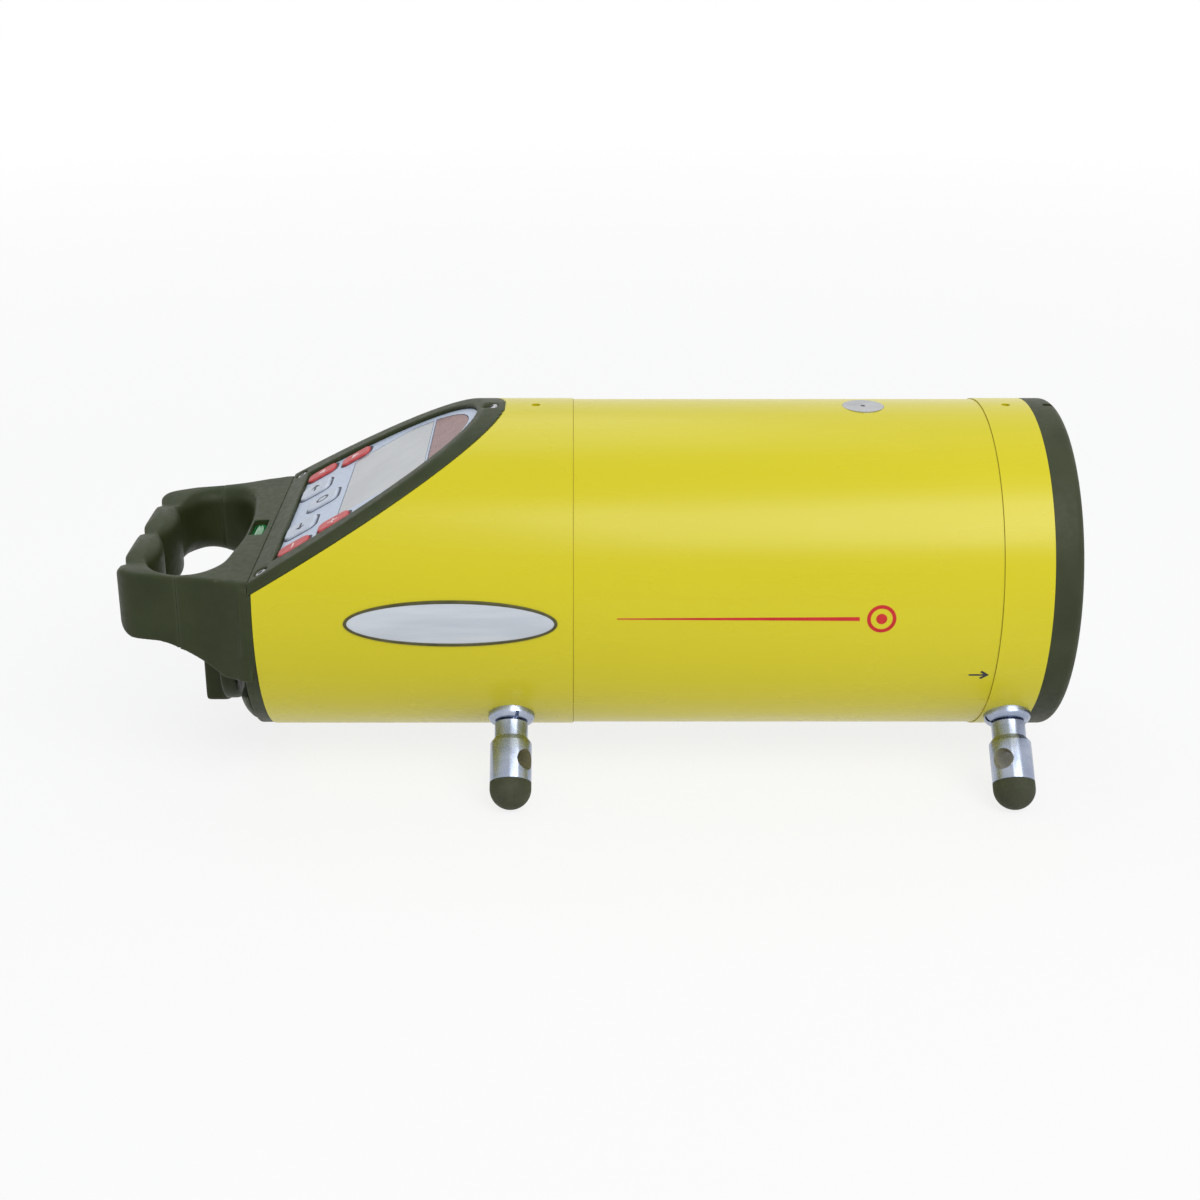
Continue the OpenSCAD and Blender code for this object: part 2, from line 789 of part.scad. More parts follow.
module window_gasket() color("dimgray") placed() {
    seat = rim_x - retainer_t - glass_t - gasket_t;
    axial_ring(seat, seat + gasket_t, aperture_d / 2 + window_ledge - seat_gap, aperture_d / 2);
}

module window_retainer() color("black") placed() {
    axial_ring(rim_x - retainer_t, rim_x, aperture_d / 2 + window_ledge - seat_gap, aperture_d / 2 - 1);
}

// A cap screw along +X: its head starts at x and its shank runs back towards -X
module axial_screw(x, shank_l) {
    axial(x, x + 2, screw_head_d / 2);
    axial(x - shank_l, x, screw_d / 2);
}

module rear_joint_screws() color("silver") placed() {
    joint_places()
        axial_screw(rear_ring_x + chassis_t, chassis_t + joint_screw_l - 1);
}

module front_joint_screws() color("silver") placed() {
    joint_places()
        translate([front_ring_x, 0, 0])
            mirror([1, 0, 0])
                axial_screw(0, chassis_t + joint_screw_l - 1);
}

module rear_cover() color("darkolivegreen") placed() {
    difference() {
        union() {
            intersection() {
                axial(cover_x, -rear_len, cover_r);
                handle_side_block([[grip_x, -BIG / 2], [-rear_len, -BIG / 2]], -BIG / 2, BIG / 2);
            }
            intersection() {
                axial_ring(-rear_len - 1, lip_len - rear_len, cover_r, cover_r - lip_t);
                below_slope(-seat_gap);
            }
            difference() {
                handle_form();
                handle_hole();
                behind(joint_x);
            }
        }
        pack_prism(cover_x - 1, -rear_len + 1, pack_gap);
        lamp_recess();
        grip_pin_places()
            axial(-pin_half - seat_gap, pin_half + seat_gap, pin_d / 2 + seat_gap);
        cover_screw_places()
            axial(cover_x - 1, 1 - rear_len, screw_d / 2 + seat_gap);
    }
}

// Recess in the deck for the status lamp, with a round seat for its lens
module lamp_recess() {
    translate([lamp_x - 2.2, -4, deck_z - lamp_depth])
        cube([4.4, 8, BIG]);
    translate([lamp_x, 0, lamp_seat_z])
        cylinder(h = BIG, d = lamp_d + 2 * seat_gap);
}

module status_lamp() color("limegreen") placed() {
    translate([lamp_x, 0, lamp_seat_z + lamp_d / 2])
        sphere(d = lamp_d);
    translate([lamp_x, 0, lamp_seat_z])
        cylinder(h = lamp_d / 2, d = lamp_d);
}

module grip() color("darkslategray") placed() {
    difference() {
        intersection() {
            handle_form();
            behind(joint_x);
        }
        grip_hole();
        swell_cuts();
        grip_pin_places()
            axial(-pin_half - seat_gap, pin_half + seat_gap, pin_d / 2 + seat_gap);
    }
}

module grip_pin_places() {
    y = (hole_half + handle_half_at(joint_x)) / 2;
    middle = (deck_end + handle_z) / 2;
    for (side = [-1, 1], up = [-1, 1])
        translate([joint_x, side * y, middle + up * pin_rise])
            children();
}

module grip_pins() color("silver") placed() {
    grip_pin_places()
        axial(-pin_half, pin_half, pin_d / 2);
}

module cover_screws() color("silver") placed() {
    cover_screw_places()
        axial_screw(rear_wall - rear_len, rear_wall + cover_t - 0.5);
}

module panel_bezel() color("darkslategray") placed() {
    difference() {
        intersection() {
            axial(-rear_len, 0, body_r);
            below_slope(bezel_t);
        }
        below_slope(0);
        panel_prism(0, panel_end, -1, BIG / 8);
        bezel_screw_places() {
            cylinder(h = BIG / 8, d = screw_head_d + 2 * recess_gap);
            bezel_screw_bore();
        }
    }
}

module bezel_screw_bore() {
    translate([0, 0, -bezel_bore])
        cylinder(h = bezel_bore + bezel_t, d = screw_d + 2 * seat_gap);
}

module bezel_screws() color("silver") placed() {
    bezel_screw_places() {
        cylinder(h = head_t, d = screw_head_d);
        translate([0, 0, 1 - bezel_bore])
            cylinder(h = bezel_bore, d = screw_d);
    }
}

module board_boss_places() {
    for (y = [-1, 1]) {
        panel_boss_v = high_v - key_l / 2 - 4;
        panel_boss_y = oval_half(panel_boss_v, panel_ledge) - 2.6;
        translate([-(panel_end - 4), y * mid_key_y / 2, 0])
            children();
        translate([-panel_boss_v, y * panel_boss_y, 0])
            children();
    }
}

module keypad_plate() color("lavender") placed() {
    difference() {
        panel_prism(slip_gap, panel_end - slip_gap, 0, keypad_t);
        for (key = KEYS)
            panel_block(key[0], key[1], key_l + 2 * slip_gap, key[2] + 2 * slip_gap,
                key_round + slip_gap, -1, keypad_t + 1);
        lcd_block(slip_gap, -1, keypad_t + 1);
        panel_prism(ir_border - slip_gap, ir_end + slip_gap, -1, keypad_t + 1);
    }
    slope_frame()
        board_boss_places()
            translate([0, 0, -board_drop])
                cylinder(h = board_drop + keypad_t / 2, r = boss_r);
}

// Form of the display, a rectangle with its upper corners cut off by the panel's oval
module lcd_block(grow, h0, h1) {
    intersection() {
        panel_block(0, lcd_start + lcd_l / 2, lcd_l + 2 * grow, lcd_w + 2 * grow, 1 + grow, h0, h1);
        panel_prism(lcd_border - grow, panel_end - lcd_border, h0 - 1, h1 + 1);
    }
}

module display_window() color("gainsboro") placed() lcd_block(0, 0, keypad_t - 0.1);

module display_module() color("dimgray") placed() lcd_block(0.5, -board_drop, 0);

module receiver_window() color("brown") placed() {
    panel_prism(ir_border, ir_end, 0, keypad_t - 0.1);
}

module display_board() color("green") placed() {
    panel_prism(panel_ledge + 0.5, panel_end - panel_ledge - 0.5, -board_drop - board_t, -board_drop);
}

module panel_key(key, tint) color(tint) placed() {
    panel_block(key[0], key[1], key_l, key[2], key_round, key_under, key_top);
    panel_pin(key[0], key[1], stem_r, stem_end, key_top - key_cap_t / 2);
}

module leg_sockets() color("silver") placed() {
    for (leg = LEGS)
        difference() {
            union() {
                difference() {
                    leg_pin(leg, collar_d / 2, body_r - 3, collar_end);
                    axial(-BIG / 2, BIG / 2, body_r + seat_gap / 2);
                }
                leg_pin(leg, socket_d / 2, body_r - socket_depth, collar_end);
            }
            leg_pin(leg, stud_d / 2 + run_gap, stud_end - 0.4, BIG);
            leg_frame(leg)
                rotate([0, 0, leg[3]])
                    translate([-collar_slot / 2, -collar_d, collar_end - collar_h / 2])
                        cube([collar_slot, 2 * collar_d, collar_h]);
        }
}

module leg_shaft(leg) color("silver") placed() {
    difference() {
        union() {
            leg_pin(leg, stud_d / 2, stud_end, neck_at + 1);
            leg_pin(leg, leg_neck_d / 2, neck_at, cone_at);
            leg_frame(leg)
                translate([0, 0, cone_at])
                    cylinder(h = leg_cone_len, r1 = leg_neck_d / 2, r2 = leg_r);
            leg_pin(leg, leg_r, shaft_at, tip_at);
            leg_pin(leg, spigot_tip_r, tip_at - 1, tip_at + spigot_tip_len);
        }
        leg_frame(leg)
            translate([0, 0, shaft_at + cross_drop])
                rotate([0, 0, -leg[2]])
                    rotate([90, 0, 0])
                        translate([0, 0, -BIG / 2])
                            cylinder(h = BIG, d = cross_d);
    }
}

module leg_foot(leg) color("black") placed() {
    difference() {
        union() {
            leg_pin(leg, leg_r, tip_at, tip_centre);
            leg_frame(leg)
                translate([0, 0, tip_centre])
                    sphere(leg_r);
        }
        leg_frame(leg)
            translate([0, 0, tip_at - BIG])
                cylinder(h = BIG, r = 2 * leg_r);
        leg_pin(leg, spigot_tip_r + seat_gap, tip_at - 1, tip_at + spigot_tip_len + seat_gap);
    }
}

module battery_pack() color("black") placed() {
    pack_prism(pack_x, pack_x + pack_len, 0);
}

module battery_end_plate() color("darkolivegreen") placed() {
    difference() {
        union() {
            intersection() {
                union() {
                    axial(plate_x - plate_t + plate_chamfer, plate_x, plate_r);
                    translate([plate_x - plate_t, 0, 0])
                        rotate([0, 90, 0])
                            cylinder(h = plate_chamfer, r1 = plate_r - plate_chamfer, r2 = plate_r);
                }
                translate([plate_x - plate_t - 1, 0, 0])
                    plate_outline();
            }
            pack_prism(plate_x - plate_t / 2, pack_x, -plug_gap);
        }
        axial_at(plate_x - plate_t - 1, pack_x + 1, knob_shaft_d / 2 + run_gap, 0, knob_z);
        axial_at(plate_x, pack_x + 1, clip_r + clear_gap, 0, knob_z);
    }
}

// The end plate is full width below the handle's arms and narrower between them
module plate_outline() {
    translate([0, -BIG / 2, plate_shoulder - BIG])
        cube([plate_t + 2, BIG, BIG]);
    translate([0, -plate_half, -BIG / 2])
        cube([plate_t + 2, 2 * plate_half, plate_top + BIG / 2]);
}

module battery_knob() color("darkslategray") placed() {
    axial_at(knob_x - knob_t, knob_x, knob_d / 2, 0, knob_z);
    axial_at(knob_x - 1, plate_x - plate_t - clear_gap, knob_shaft_d / 2 + 2.5, 0, knob_z);
    axial_at(knob_x - 1, plate_x + clip_t + 1.5, knob_shaft_d / 2, 0, knob_z);
    intersection() {
        translate([knob_x - knob_t - knob_bar_h, -knob_bar_w / 2, knob_z - knob_bar / 2])
            cube([knob_bar_h + 1, knob_bar_w, knob_bar]);
        axial_at(knob_x - knob_t - knob_bar_h, knob_x, knob_bar / 2, 0, knob_z);
    }
}

module knob_clip() color("silver") placed() {
    translate([0, 0, knob_z])
        axial_ring(plate_x + clear_gap, plate_x + clear_gap + clip_t, clip_r, knob_shaft_d / 2 + seat_gap);
}

module battery_bay() color("dimgray") placed() {
    mouth_x = rear_wall - rear_len;
    difference() {
        union() {
            pack_prism(mouth_x, bay_end_x, pack_gap + bay_wall);
            for (x = [0.25, 0.75], y = [-1, 1])
                translate([mouth_x + (bay_end_x - mouth_x) * x, y * pack_half, pack_z])
                    cylinder(h = pack_r + pack_gap + bay_wall + main_board_post, r = 2.5);
        }
        pack_prism(mouth_x - 1, bay_end_x - bay_wall, pack_gap);
    }
}

module battery_contacts() color("goldenrod") placed() {
    for (y = [-pack_half, pack_half])
        axial_at(bay_end_x - bay_wall - contact_l, bay_end_x - bay_wall, contact_r, y, pack_z);
}

module main_board() color("green") placed() {
    middle = (rear_wall - rear_len + bay_end_x) / 2;
    floor_z = pack_z + pack_r + pack_gap + bay_wall + main_board_post;
    translate([middle - main_board_l / 2, -main_board_w / 2, floor_z])
        cube([main_board_l, main_board_w, board_t]);
}

module chassis() color("slategray") placed() {
    difference() {
        union() {
            axial_ring(rear_ring_x, rear_ring_x + chassis_t, chassis_r, ring_in);
            axial_ring(front_ring_x, front_ring_x + chassis_t, chassis_r, ring_in);
            translate([rear_ring_x, -bench_half, bench_z - chassis_t])
                cube([front_ring_x + chassis_t - rear_ring_x, 2 * bench_half, chassis_t]);
        }
        translate([pivot_x, 0, bench_z - chassis_t - 1])
            cylinder(h = chassis_t + 2, d = line_pin_d + 2 * seat_gap);
        joint_places()
            axial(0, ring_x, screw_d / 2 + seat_gap);
    }
}

module line_pin() color("silver") placed() {
    translate([pivot_x, 0, bench_z - chassis_t])
        cylinder(h = yoke_top + 2 - bench_z + chassis_t, d = line_pin_d);
}

module line_yoke() color("lightslategray") placed() {
    difference() {
        union() {
            translate([grade_x - 4, -yoke_half, yoke_z])
                cube([pivot_x + cheek_half + 5 - grade_x + 4, 2 * yoke_half, yoke_t]);
            translate([pivot_x - cheek_half, -cheek_y - cheek_t, yoke_z])
                cube([2 * cheek_half, 2 * (cheek_y + cheek_t), yoke_t]);
            translate([grade_x - actuator_r, 0, yoke_z])
                cube([actuator_d, grade_y + actuator_r, yoke_t]);
            for (y = [-cheek_y - cheek_t, cheek_y])
                translate([pivot_x - cheek_half, y, yoke_z])
                    cube([2 * cheek_half, cheek_t, trunnion_r + 4 - yoke_z]);
            translate([line_x - 4, line_face, yoke_z])
                cube([8, 3, line_z + line_rod_r + 0.6 - yoke_z]);
        }
        translate([pivot_x, 0, yoke_z - 1])
            cylinder(h = yoke_t + 2, d = line_pin_d + 2 * run_gap);
        translate([pivot_x, -BIG / 2, 0])
            rotate([-90, 0, 0])
                cylinder(h = BIG, r = trunnion_r + run_gap);
    }
}

module line_actuator() color("dimgray") placed() {
    back_y = line_body_y - line_body_l;
    difference() {
        translate([line_x - line_body_half, back_y, bench_z])
            cube([2 * line_body_half, line_body_l, line_z + line_body_half - bench_z]);
        translate([line_x, back_y + 1, line_z])
            rotate([-90, 0, 0])
                cylinder(h = BIG, r = line_rod_r + run_gap);
    }
}

module line_rod() color("silver") placed() {
    tip = line_face - clear_gap - line_rod_r;
    back_y = line_body_y - line_body_l + 4;
    translate([line_x, back_y, line_z])
        rotate([-90, 0, 0])
            cylinder(h = tip - back_y, r = line_rod_r);
    translate([line_x, tip, line_z])
        sphere(line_rod_r);
}

module laser_barrel() color("black") placed() {
    back = pivot_x - barrel_back;
    front = pivot_x + barrel_front;
    difference() {
        union() {
            axial(back, front, barrel_r);
            translate([grade_x - 5, 0, lug_z])
                cube([10, grade_y + 5.5, lug_t]);
            translate([line_x, -4, 0])
                cube([vial_l + 2, 8, pad_z]);
        }
        axial(back - 1, back + diode_l + 4, diode_r + seat_gap);
        axial(back + diode_l, front + 1, diode_r + 2);
        axial(front - 2 * lens_t, front + 1, lens_r + seat_gap);
        translate([pivot_x, -BIG / 2, 0])
            rotate([-90, 0, 0])
                cylinder(h = BIG, r = trunnion_r + seat_gap);
    }
}

module tilt_pins() color("silver") placed() {
    inner = diode_r + 2.3;
    outer = cheek_y + cheek_t;
    translate([pivot_x, inner, 0])
        rotate([-90, 0, 0])
            cylinder(h = outer - inner, r = trunnion_r);
    translate([pivot_x, -outer, 0])
        rotate([-90, 0, 0])
            cylinder(h = outer - inner, r = trunnion_r);
}

module collimator_lens() color("lightblue", 0.5) placed() {
    front = pivot_x + barrel_front;
    axial(front - 2 * lens_t, front - lens_t, lens_r);
}

module laser_diode() color("goldenrod") placed() {
    back = pivot_x - barrel_back;
    axial(back - 2, back + diode_l, diode_r);
}

module level_sensor() color("seagreen") placed() {
    translate([line_x + 1, -vial_w / 2, pad_z])
        cube([vial_l, vial_w, vial_h]);
}

module grade_actuator() color("dimgray") placed() {
    translate([grade_x, grade_y, 0])
        difference() {
            translate([0, 0, yoke_top])
                cylinder(h = actuator_top - yoke_top, r = actuator_r);
            translate([0, 0, yoke_top - 1])
                cylinder(h = BIG, r = rod_r + run_gap);
        }
}

module grade_rod() color("silver") placed() {
    tip = lug_z - clear_gap - rod_r;
    translate([grade_x, grade_y, rod_end])
        cylinder(h = tip - rod_end, r = rod_r);
    translate([grade_x, grade_y, tip])
        sphere(rod_r);
}

rear_housing();
main_tube();
front_ring();
front_rim();
front_window();
window_retainer();
window_gasket();
rear_seal();
front_seal();
pivot_mark();
rear_joint_screws();
front_joint_screws();
rear_cover();
grip();
grip_pins();
cover_screws();
status_lamp();
panel_bezel();
bezel_screws();
keypad_plate();
display_window();
display_module();
receiver_window();
display_board();
panel_key(KEY_LEFT_LOW, "indianred");  // key_left_low
panel_key(KEY_LEFT_HIGH, "indianred");  // key_left_high
panel_key(KEY_LEFT, "lavender");  // key_left
panel_key(KEY_CENTRE, "lavender");  // key_centre
panel_key(KEY_RIGHT, "lavender");  // key_right
panel_key(KEY_RIGHT_HIGH, "indianred");  // key_right_high
panel_key(KEY_RIGHT_LOW, "indianred");  // key_right_low
leg_sockets();
leg_shaft(LEG_REAR_RIGHT);  // leg_rear_right
leg_shaft(LEG_REAR_LEFT);  // leg_rear_left
leg_shaft(LEG_FRONT_RIGHT);  // leg_front_right
leg_shaft(LEG_FRONT_LEFT);  // leg_front_left
leg_foot(LEG_REAR_RIGHT);  // foot_rear_right
leg_foot(LEG_REAR_LEFT);  // foot_rear_left
leg_foot(LEG_FRONT_RIGHT);  // foot_front_right
leg_foot(LEG_FRONT_LEFT);  // foot_front_left
battery_pack();
battery_end_plate();
battery_knob();
knob_clip();
battery_bay();
battery_contacts();
main_board();
chassis();
line_pin();
line_yoke();
line_actuator();
line_rod();
laser_barrel();
tilt_pins();
collimator_lens();
laser_diode();
level_sensor();
grade_actuator();
grade_rod();
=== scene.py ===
"""Looks of a pipe laser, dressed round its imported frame.

Places are in millimetres round the body axis: X = 0 at the rear seam and +X towards the beam
exit, -Y towards the camera, Z = 0 on the axis. at() turns them into metres in the part's frame.
"""
import json
import math

import bmesh
import bpy
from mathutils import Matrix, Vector

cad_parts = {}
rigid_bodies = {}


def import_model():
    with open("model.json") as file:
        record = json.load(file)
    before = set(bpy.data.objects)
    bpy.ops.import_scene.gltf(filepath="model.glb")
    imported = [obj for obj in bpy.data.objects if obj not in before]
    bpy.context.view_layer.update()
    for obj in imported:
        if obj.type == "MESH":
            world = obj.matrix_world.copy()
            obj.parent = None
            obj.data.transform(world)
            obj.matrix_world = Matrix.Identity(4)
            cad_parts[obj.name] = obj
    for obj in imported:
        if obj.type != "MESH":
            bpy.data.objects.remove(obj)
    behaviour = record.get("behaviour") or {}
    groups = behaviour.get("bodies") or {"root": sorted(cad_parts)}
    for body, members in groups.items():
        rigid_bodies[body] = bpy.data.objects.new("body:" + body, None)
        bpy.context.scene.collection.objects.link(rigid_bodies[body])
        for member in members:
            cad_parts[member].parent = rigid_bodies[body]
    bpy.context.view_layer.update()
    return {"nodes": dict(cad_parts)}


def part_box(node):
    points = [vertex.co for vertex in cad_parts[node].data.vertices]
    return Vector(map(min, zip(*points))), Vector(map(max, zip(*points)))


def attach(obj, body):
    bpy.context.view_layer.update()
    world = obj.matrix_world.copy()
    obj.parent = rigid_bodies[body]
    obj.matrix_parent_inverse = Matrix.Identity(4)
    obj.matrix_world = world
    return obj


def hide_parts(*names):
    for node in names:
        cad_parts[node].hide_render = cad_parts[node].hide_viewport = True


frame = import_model()
NODES = frame["nodes"]

MM = 0.001
TUBE_LOW, TUBE_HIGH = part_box("main_tube")
SEAM_X = TUBE_LOW.x
AXIS_Z = (TUBE_LOW.z + TUBE_HIGH.z) / 2

# Body
BODY_R = 48
TUBE_R = (TUBE_HIGH.y - TUBE_LOW.y) / 2 / MM
TUBE_LEN = (TUBE_HIGH.x - TUBE_LOW.x) / MM
REAR_X = -88.5
JOINT_X = -109.5

# Panel: distance v down the slope from its top, y across it, h out of it
SLOPE = math.radians(30)
SLOPE_TOP_X = -19
KEYPAD_TOP = 1.8
KEY_TOP = 2.5
KEY_UNDER = 1
KEY_LEN = 10
KEY_GAP = 0.25

# Camera
CAMERA_DISTANCE = 538
CAMERA_RISE = math.radians(21.5)
CAMERA_LENS = 54.37
CAMERA_SHIFT = (0.0225, -0.0331)


def at(x, y, z):
    return Vector((SEAM_X + x * MM, y * MM, AXIS_Z + z * MM))


def on_slope(v, y, h):
    return at(
        SLOPE_TOP_X - v * math.cos(SLOPE) - h * math.sin(SLOPE),
        y,
        BODY_R - v * math.sin(SLOPE) + h * math.cos(SLOPE),
    )


def on_side(x, s, r):
    """A point on the body's camera side, s up the surface from the axis height, at radius r."""
    a = s / r
    return at(x, -r * math.cos(a), r * math.sin(a))


def mixed(a, b, t):
    return a + (b - a) * t


def eased(t):
    t = min(1, max(0, t))
    return t * t * (3 - 2 * t)


# Materials


def srgb(r, g, b):
    def channel(c):
        c /= 255
        return c / 12.92 if c <= 0.04045 else ((c + 0.055) / 1.055) ** 2.4

    return (channel(r), channel(g), channel(b), 1)


def noise(tree, vector, scale, detail):
    node = tree.nodes.new("ShaderNodeTexNoise")
    node.inputs["Scale"].default_value = scale
    node.inputs["Detail"].default_value = detail
    tree.links.new(vector, node.inputs["Vector"])
    return node.outputs["Fac"]


def ramp(tree, factor, stops):
    node = tree.nodes.new("ShaderNodeValToRGB")
    (first_at, first), (last_at, last) = stops
    node.color_ramp.elements[0].position = first_at
    node.color_ramp.elements[0].color = first
    node.color_ramp.elements[1].position = last_at
    node.color_ramp.elements[1].color = last
    tree.links.new(factor, node.inputs["Fac"])
    return node.outputs["Color"]


def spread(tree, factor, low, high):
    node = tree.nodes.new("ShaderNodeMapRange")
    node.inputs["From Min"].default_value = 0.3
    node.inputs["From Max"].default_value = 0.7
    node.inputs["To Min"].default_value = low
    node.inputs["To Max"].default_value = high
    tree.links.new(factor, node.inputs["Value"])
    return node.outputs["Result"]


def blend_colour(tree, factor, below, above):
    node = tree.nodes.new("ShaderNodeMix")
    node.data_type = "RGBA"
    tree.links.new(factor, node.inputs["Factor"])
    tree.links.new(below, node.inputs["A"])
    node.inputs["B"].default_value = above
    return node.outputs["Result"]


def placed_coordinates(tree, stretch, centre=None):
    coordinates = tree.nodes.new("ShaderNodeTexCoord")
    mapping = tree.nodes.new("ShaderNodeMapping")
    mapping.vector_type = "POINT"
    mapping.inputs["Scale"].default_value = stretch
    if centre is not None:
        mapping.inputs["Location"].default_value = -centre
    tree.links.new(coordinates.outputs["Object"], mapping.inputs["Vector"])
    return mapping.outputs["Vector"]


def surface(name, low, high, rough, patch=60, stretch=(1, 1, 1), grain=1500, bump=0.15,
            depth=0.00005, edge_tone=None, sockets=None):
    """A procedural material: patches of colour and gloss, a fine grain, and convex edges in a second
    colour.
    """
    material = bpy.data.materials.new(name)
    material.use_nodes = True
    tree = material.node_tree
    shader = tree.nodes["Principled BSDF"]
    vector = placed_coordinates(tree, stretch)
    patches = noise(tree, vector, patch, 5)
    colour = ramp(tree, patches, [(0.35, low), (0.65, high)])
    if edge_tone is not None:
        # convex edges, where Pointiness is high, take the second colour
        geometry = tree.nodes.new("ShaderNodeNewGeometry")
        edge = ramp(tree, geometry.outputs["Pointiness"], [(0.5, (0, 0, 0, 1)), (0.6, (0.6, 0.6, 0.6, 1))])
        colour = blend_colour(tree, edge, colour, edge_tone)
    tree.links.new(colour, shader.inputs["Base Color"])
    gloss = spread(tree, noise(tree, vector, patch * 6, 3), *rough)
    tree.links.new(gloss, shader.inputs["Roughness"])
    relief = tree.nodes.new("ShaderNodeBump")
    relief.inputs["Strength"].default_value = bump
    relief.inputs["Distance"].default_value = depth
    tree.links.new(noise(tree, vector, grain, 2), relief.inputs["Height"])
    tree.links.new(relief.outputs["Normal"], shader.inputs["Normal"])
    for socket, value in (sockets or {}).items():
        shader.inputs[socket].default_value = value
    return material


METAL = {"Metallic": 1}
PAINT = {"Specular IOR Level": 0.36}
PLASTIC = {"Specular IOR Level": 0.2}
GLASS = {"Transmission Weight": 1, "IOR": 1.5}

yellow_paint = surface("yellow_paint", srgb(213, 200, 22), srgb(219, 206, 32), (0.24, 0.32), patch=12,
                       stretch=(0.25, 1, 1), grain=900, bump=0.06, sockets=PAINT)
seam_shade = surface("seam_shade", srgb(146, 132, 34), srgb(160, 146, 40), (0.5, 0.6), sockets=PLASTIC)
black_plastic = surface("black_plastic", srgb(52, 57, 37), srgb(59, 64, 43), (0.46, 0.58), patch=90,
                        grain=2600, bump=0.3, depth=0.00008, sockets=PLASTIC)
edge_toned_plastic = surface("edge_toned_plastic", srgb(44, 51, 26), srgb(52, 59, 33), (0.42, 0.54), patch=90,
                       grain=2600, bump=0.35, depth=0.00008, edge_tone=srgb(74, 81, 60), sockets=PLASTIC)
dark_plastic = surface("dark_plastic", srgb(34, 35, 34), srgb(44, 45, 44), (0.5, 0.65), grain=2200,
                       sockets=PLASTIC)
# The chrome is darkened and tinted blue-grey beyond the metal's own grey: a painted reflection of a
# blue-grey sky.
chrome = surface("chrome", srgb(150, 160, 182), srgb(170, 178, 196), (0.24, 0.3), patch=220,
                 grain=3000, bump=0.03, sockets=METAL)
steel = surface("steel", srgb(150, 151, 154), srgb(178, 179, 182), (0.25, 0.38), patch=400, sockets=METAL)
alloy = surface("alloy", srgb(168, 170, 174), srgb(192, 194, 197), (0.32, 0.45), patch=150,
                stretch=(0.2, 1, 1), sockets=METAL)
dark_alloy = surface("dark_alloy", srgb(40, 41, 44), srgb(56, 57, 60), (0.3, 0.42), patch=150,
                     sockets=METAL)
rubber = surface("rubber", srgb(58, 62, 44), srgb(70, 73, 56), (0.62, 0.78), patch=160, grain=3200,
                 bump=0.5, depth=0.0001, sockets={"Specular IOR Level": 0.3})
window_glass = surface("window_glass", srgb(226, 240, 236), srgb(236, 246, 243), (0, 0.02), grain=300,
                       bump=0.01, sockets=GLASS)
keypad_film = surface("keypad_film", srgb(184, 196, 217), srgb(196, 207, 227), (0.3, 0.4), patch=900,
                      grain=4200, bump=0.2, sockets={"Metallic": 0.15, "Specular IOR Level": 0.5})
white_key = surface("white_key", srgb(196, 204, 219), srgb(209, 215, 227), (0.34, 0.44), patch=500,
                    grain=3600, bump=0.2, sockets=PLASTIC)
red_key = surface("red_key", srgb(196, 74, 78), srgb(209, 92, 92), (0.34, 0.46), patch=500,
                  grain=3600, bump=0.2, sockets=PLASTIC)
receiver_red = surface("receiver_red", srgb(122, 68, 68), srgb(134, 80, 78), (0.2, 0.3), patch=240,
                       grain=800, bump=0.03, sockets={"Specular IOR Level": 0.35})
lamp_green = surface("lamp_green", srgb(8, 128, 62), srgb(36, 168, 88), (0.06, 0.12), patch=600,
                     sockets={"Transmission Weight": 0.3, "Coat Weight": 0.6})
board_green = surface("board_green", srgb(22, 74, 44), srgb(34, 92, 56), (0.35, 0.5), patch=500,
                      sockets=PLASTIC)
brass = surface("brass", srgb(196, 158, 84), srgb(214, 180, 104), (0.18, 0.28), patch=300, sockets=METAL)
ink_dark = surface("ink_dark", srgb(44, 48, 62), srgb(54, 58, 72), (0.4, 0.5), patch=700, sockets=PLASTIC)
ink_red = surface("ink_red", srgb(196, 40, 44), srgb(208, 54, 52), (0.32, 0.42), patch=300, sockets=PLASTIC)
ink_pale = surface("ink_pale", srgb(236, 206, 206), srgb(242, 218, 216), (0.4, 0.5), patch=700,
                   sockets=PLASTIC)
badge_silver = surface("badge_silver", srgb(190, 196, 206), srgb(206, 211, 219), (0.3, 0.42), patch=300,
                       stretch=(0.1, 1, 1), grain=1400, bump=0.2, sockets={"Metallic": 0.35})
badge_rim = surface("badge_rim", srgb(74, 72, 44), srgb(92, 90, 58), (0.3, 0.4), patch=300, sockets=PLASTIC)


def turned_metal():
    """Silver with the fine rings of a lathe, round the upright axis of the pivot mark."""
    low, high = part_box("pivot_mark")
    material = surface("turned_metal", srgb(164, 166, 170), srgb(182, 184, 187), (0.22, 0.32), patch=200,
                       sockets=METAL)
    tree = material.node_tree
    centre = (low + high) / 2
    rings = tree.nodes.new("ShaderNodeTexWave")
    rings.wave_type = "RINGS"
    rings.rings_direction = "Z"
    rings.inputs["Scale"].default_value = 700
    tree.links.new(placed_coordinates(tree, (1, 1, 1), centre), rings.inputs["Vector"])
    bump = next(n for n in tree.nodes if n.type == "BUMP")
    bump.inputs["Strength"].default_value = 0.3
    tree.links.new(rings.outputs["Fac"], bump.inputs["Height"])
    return material


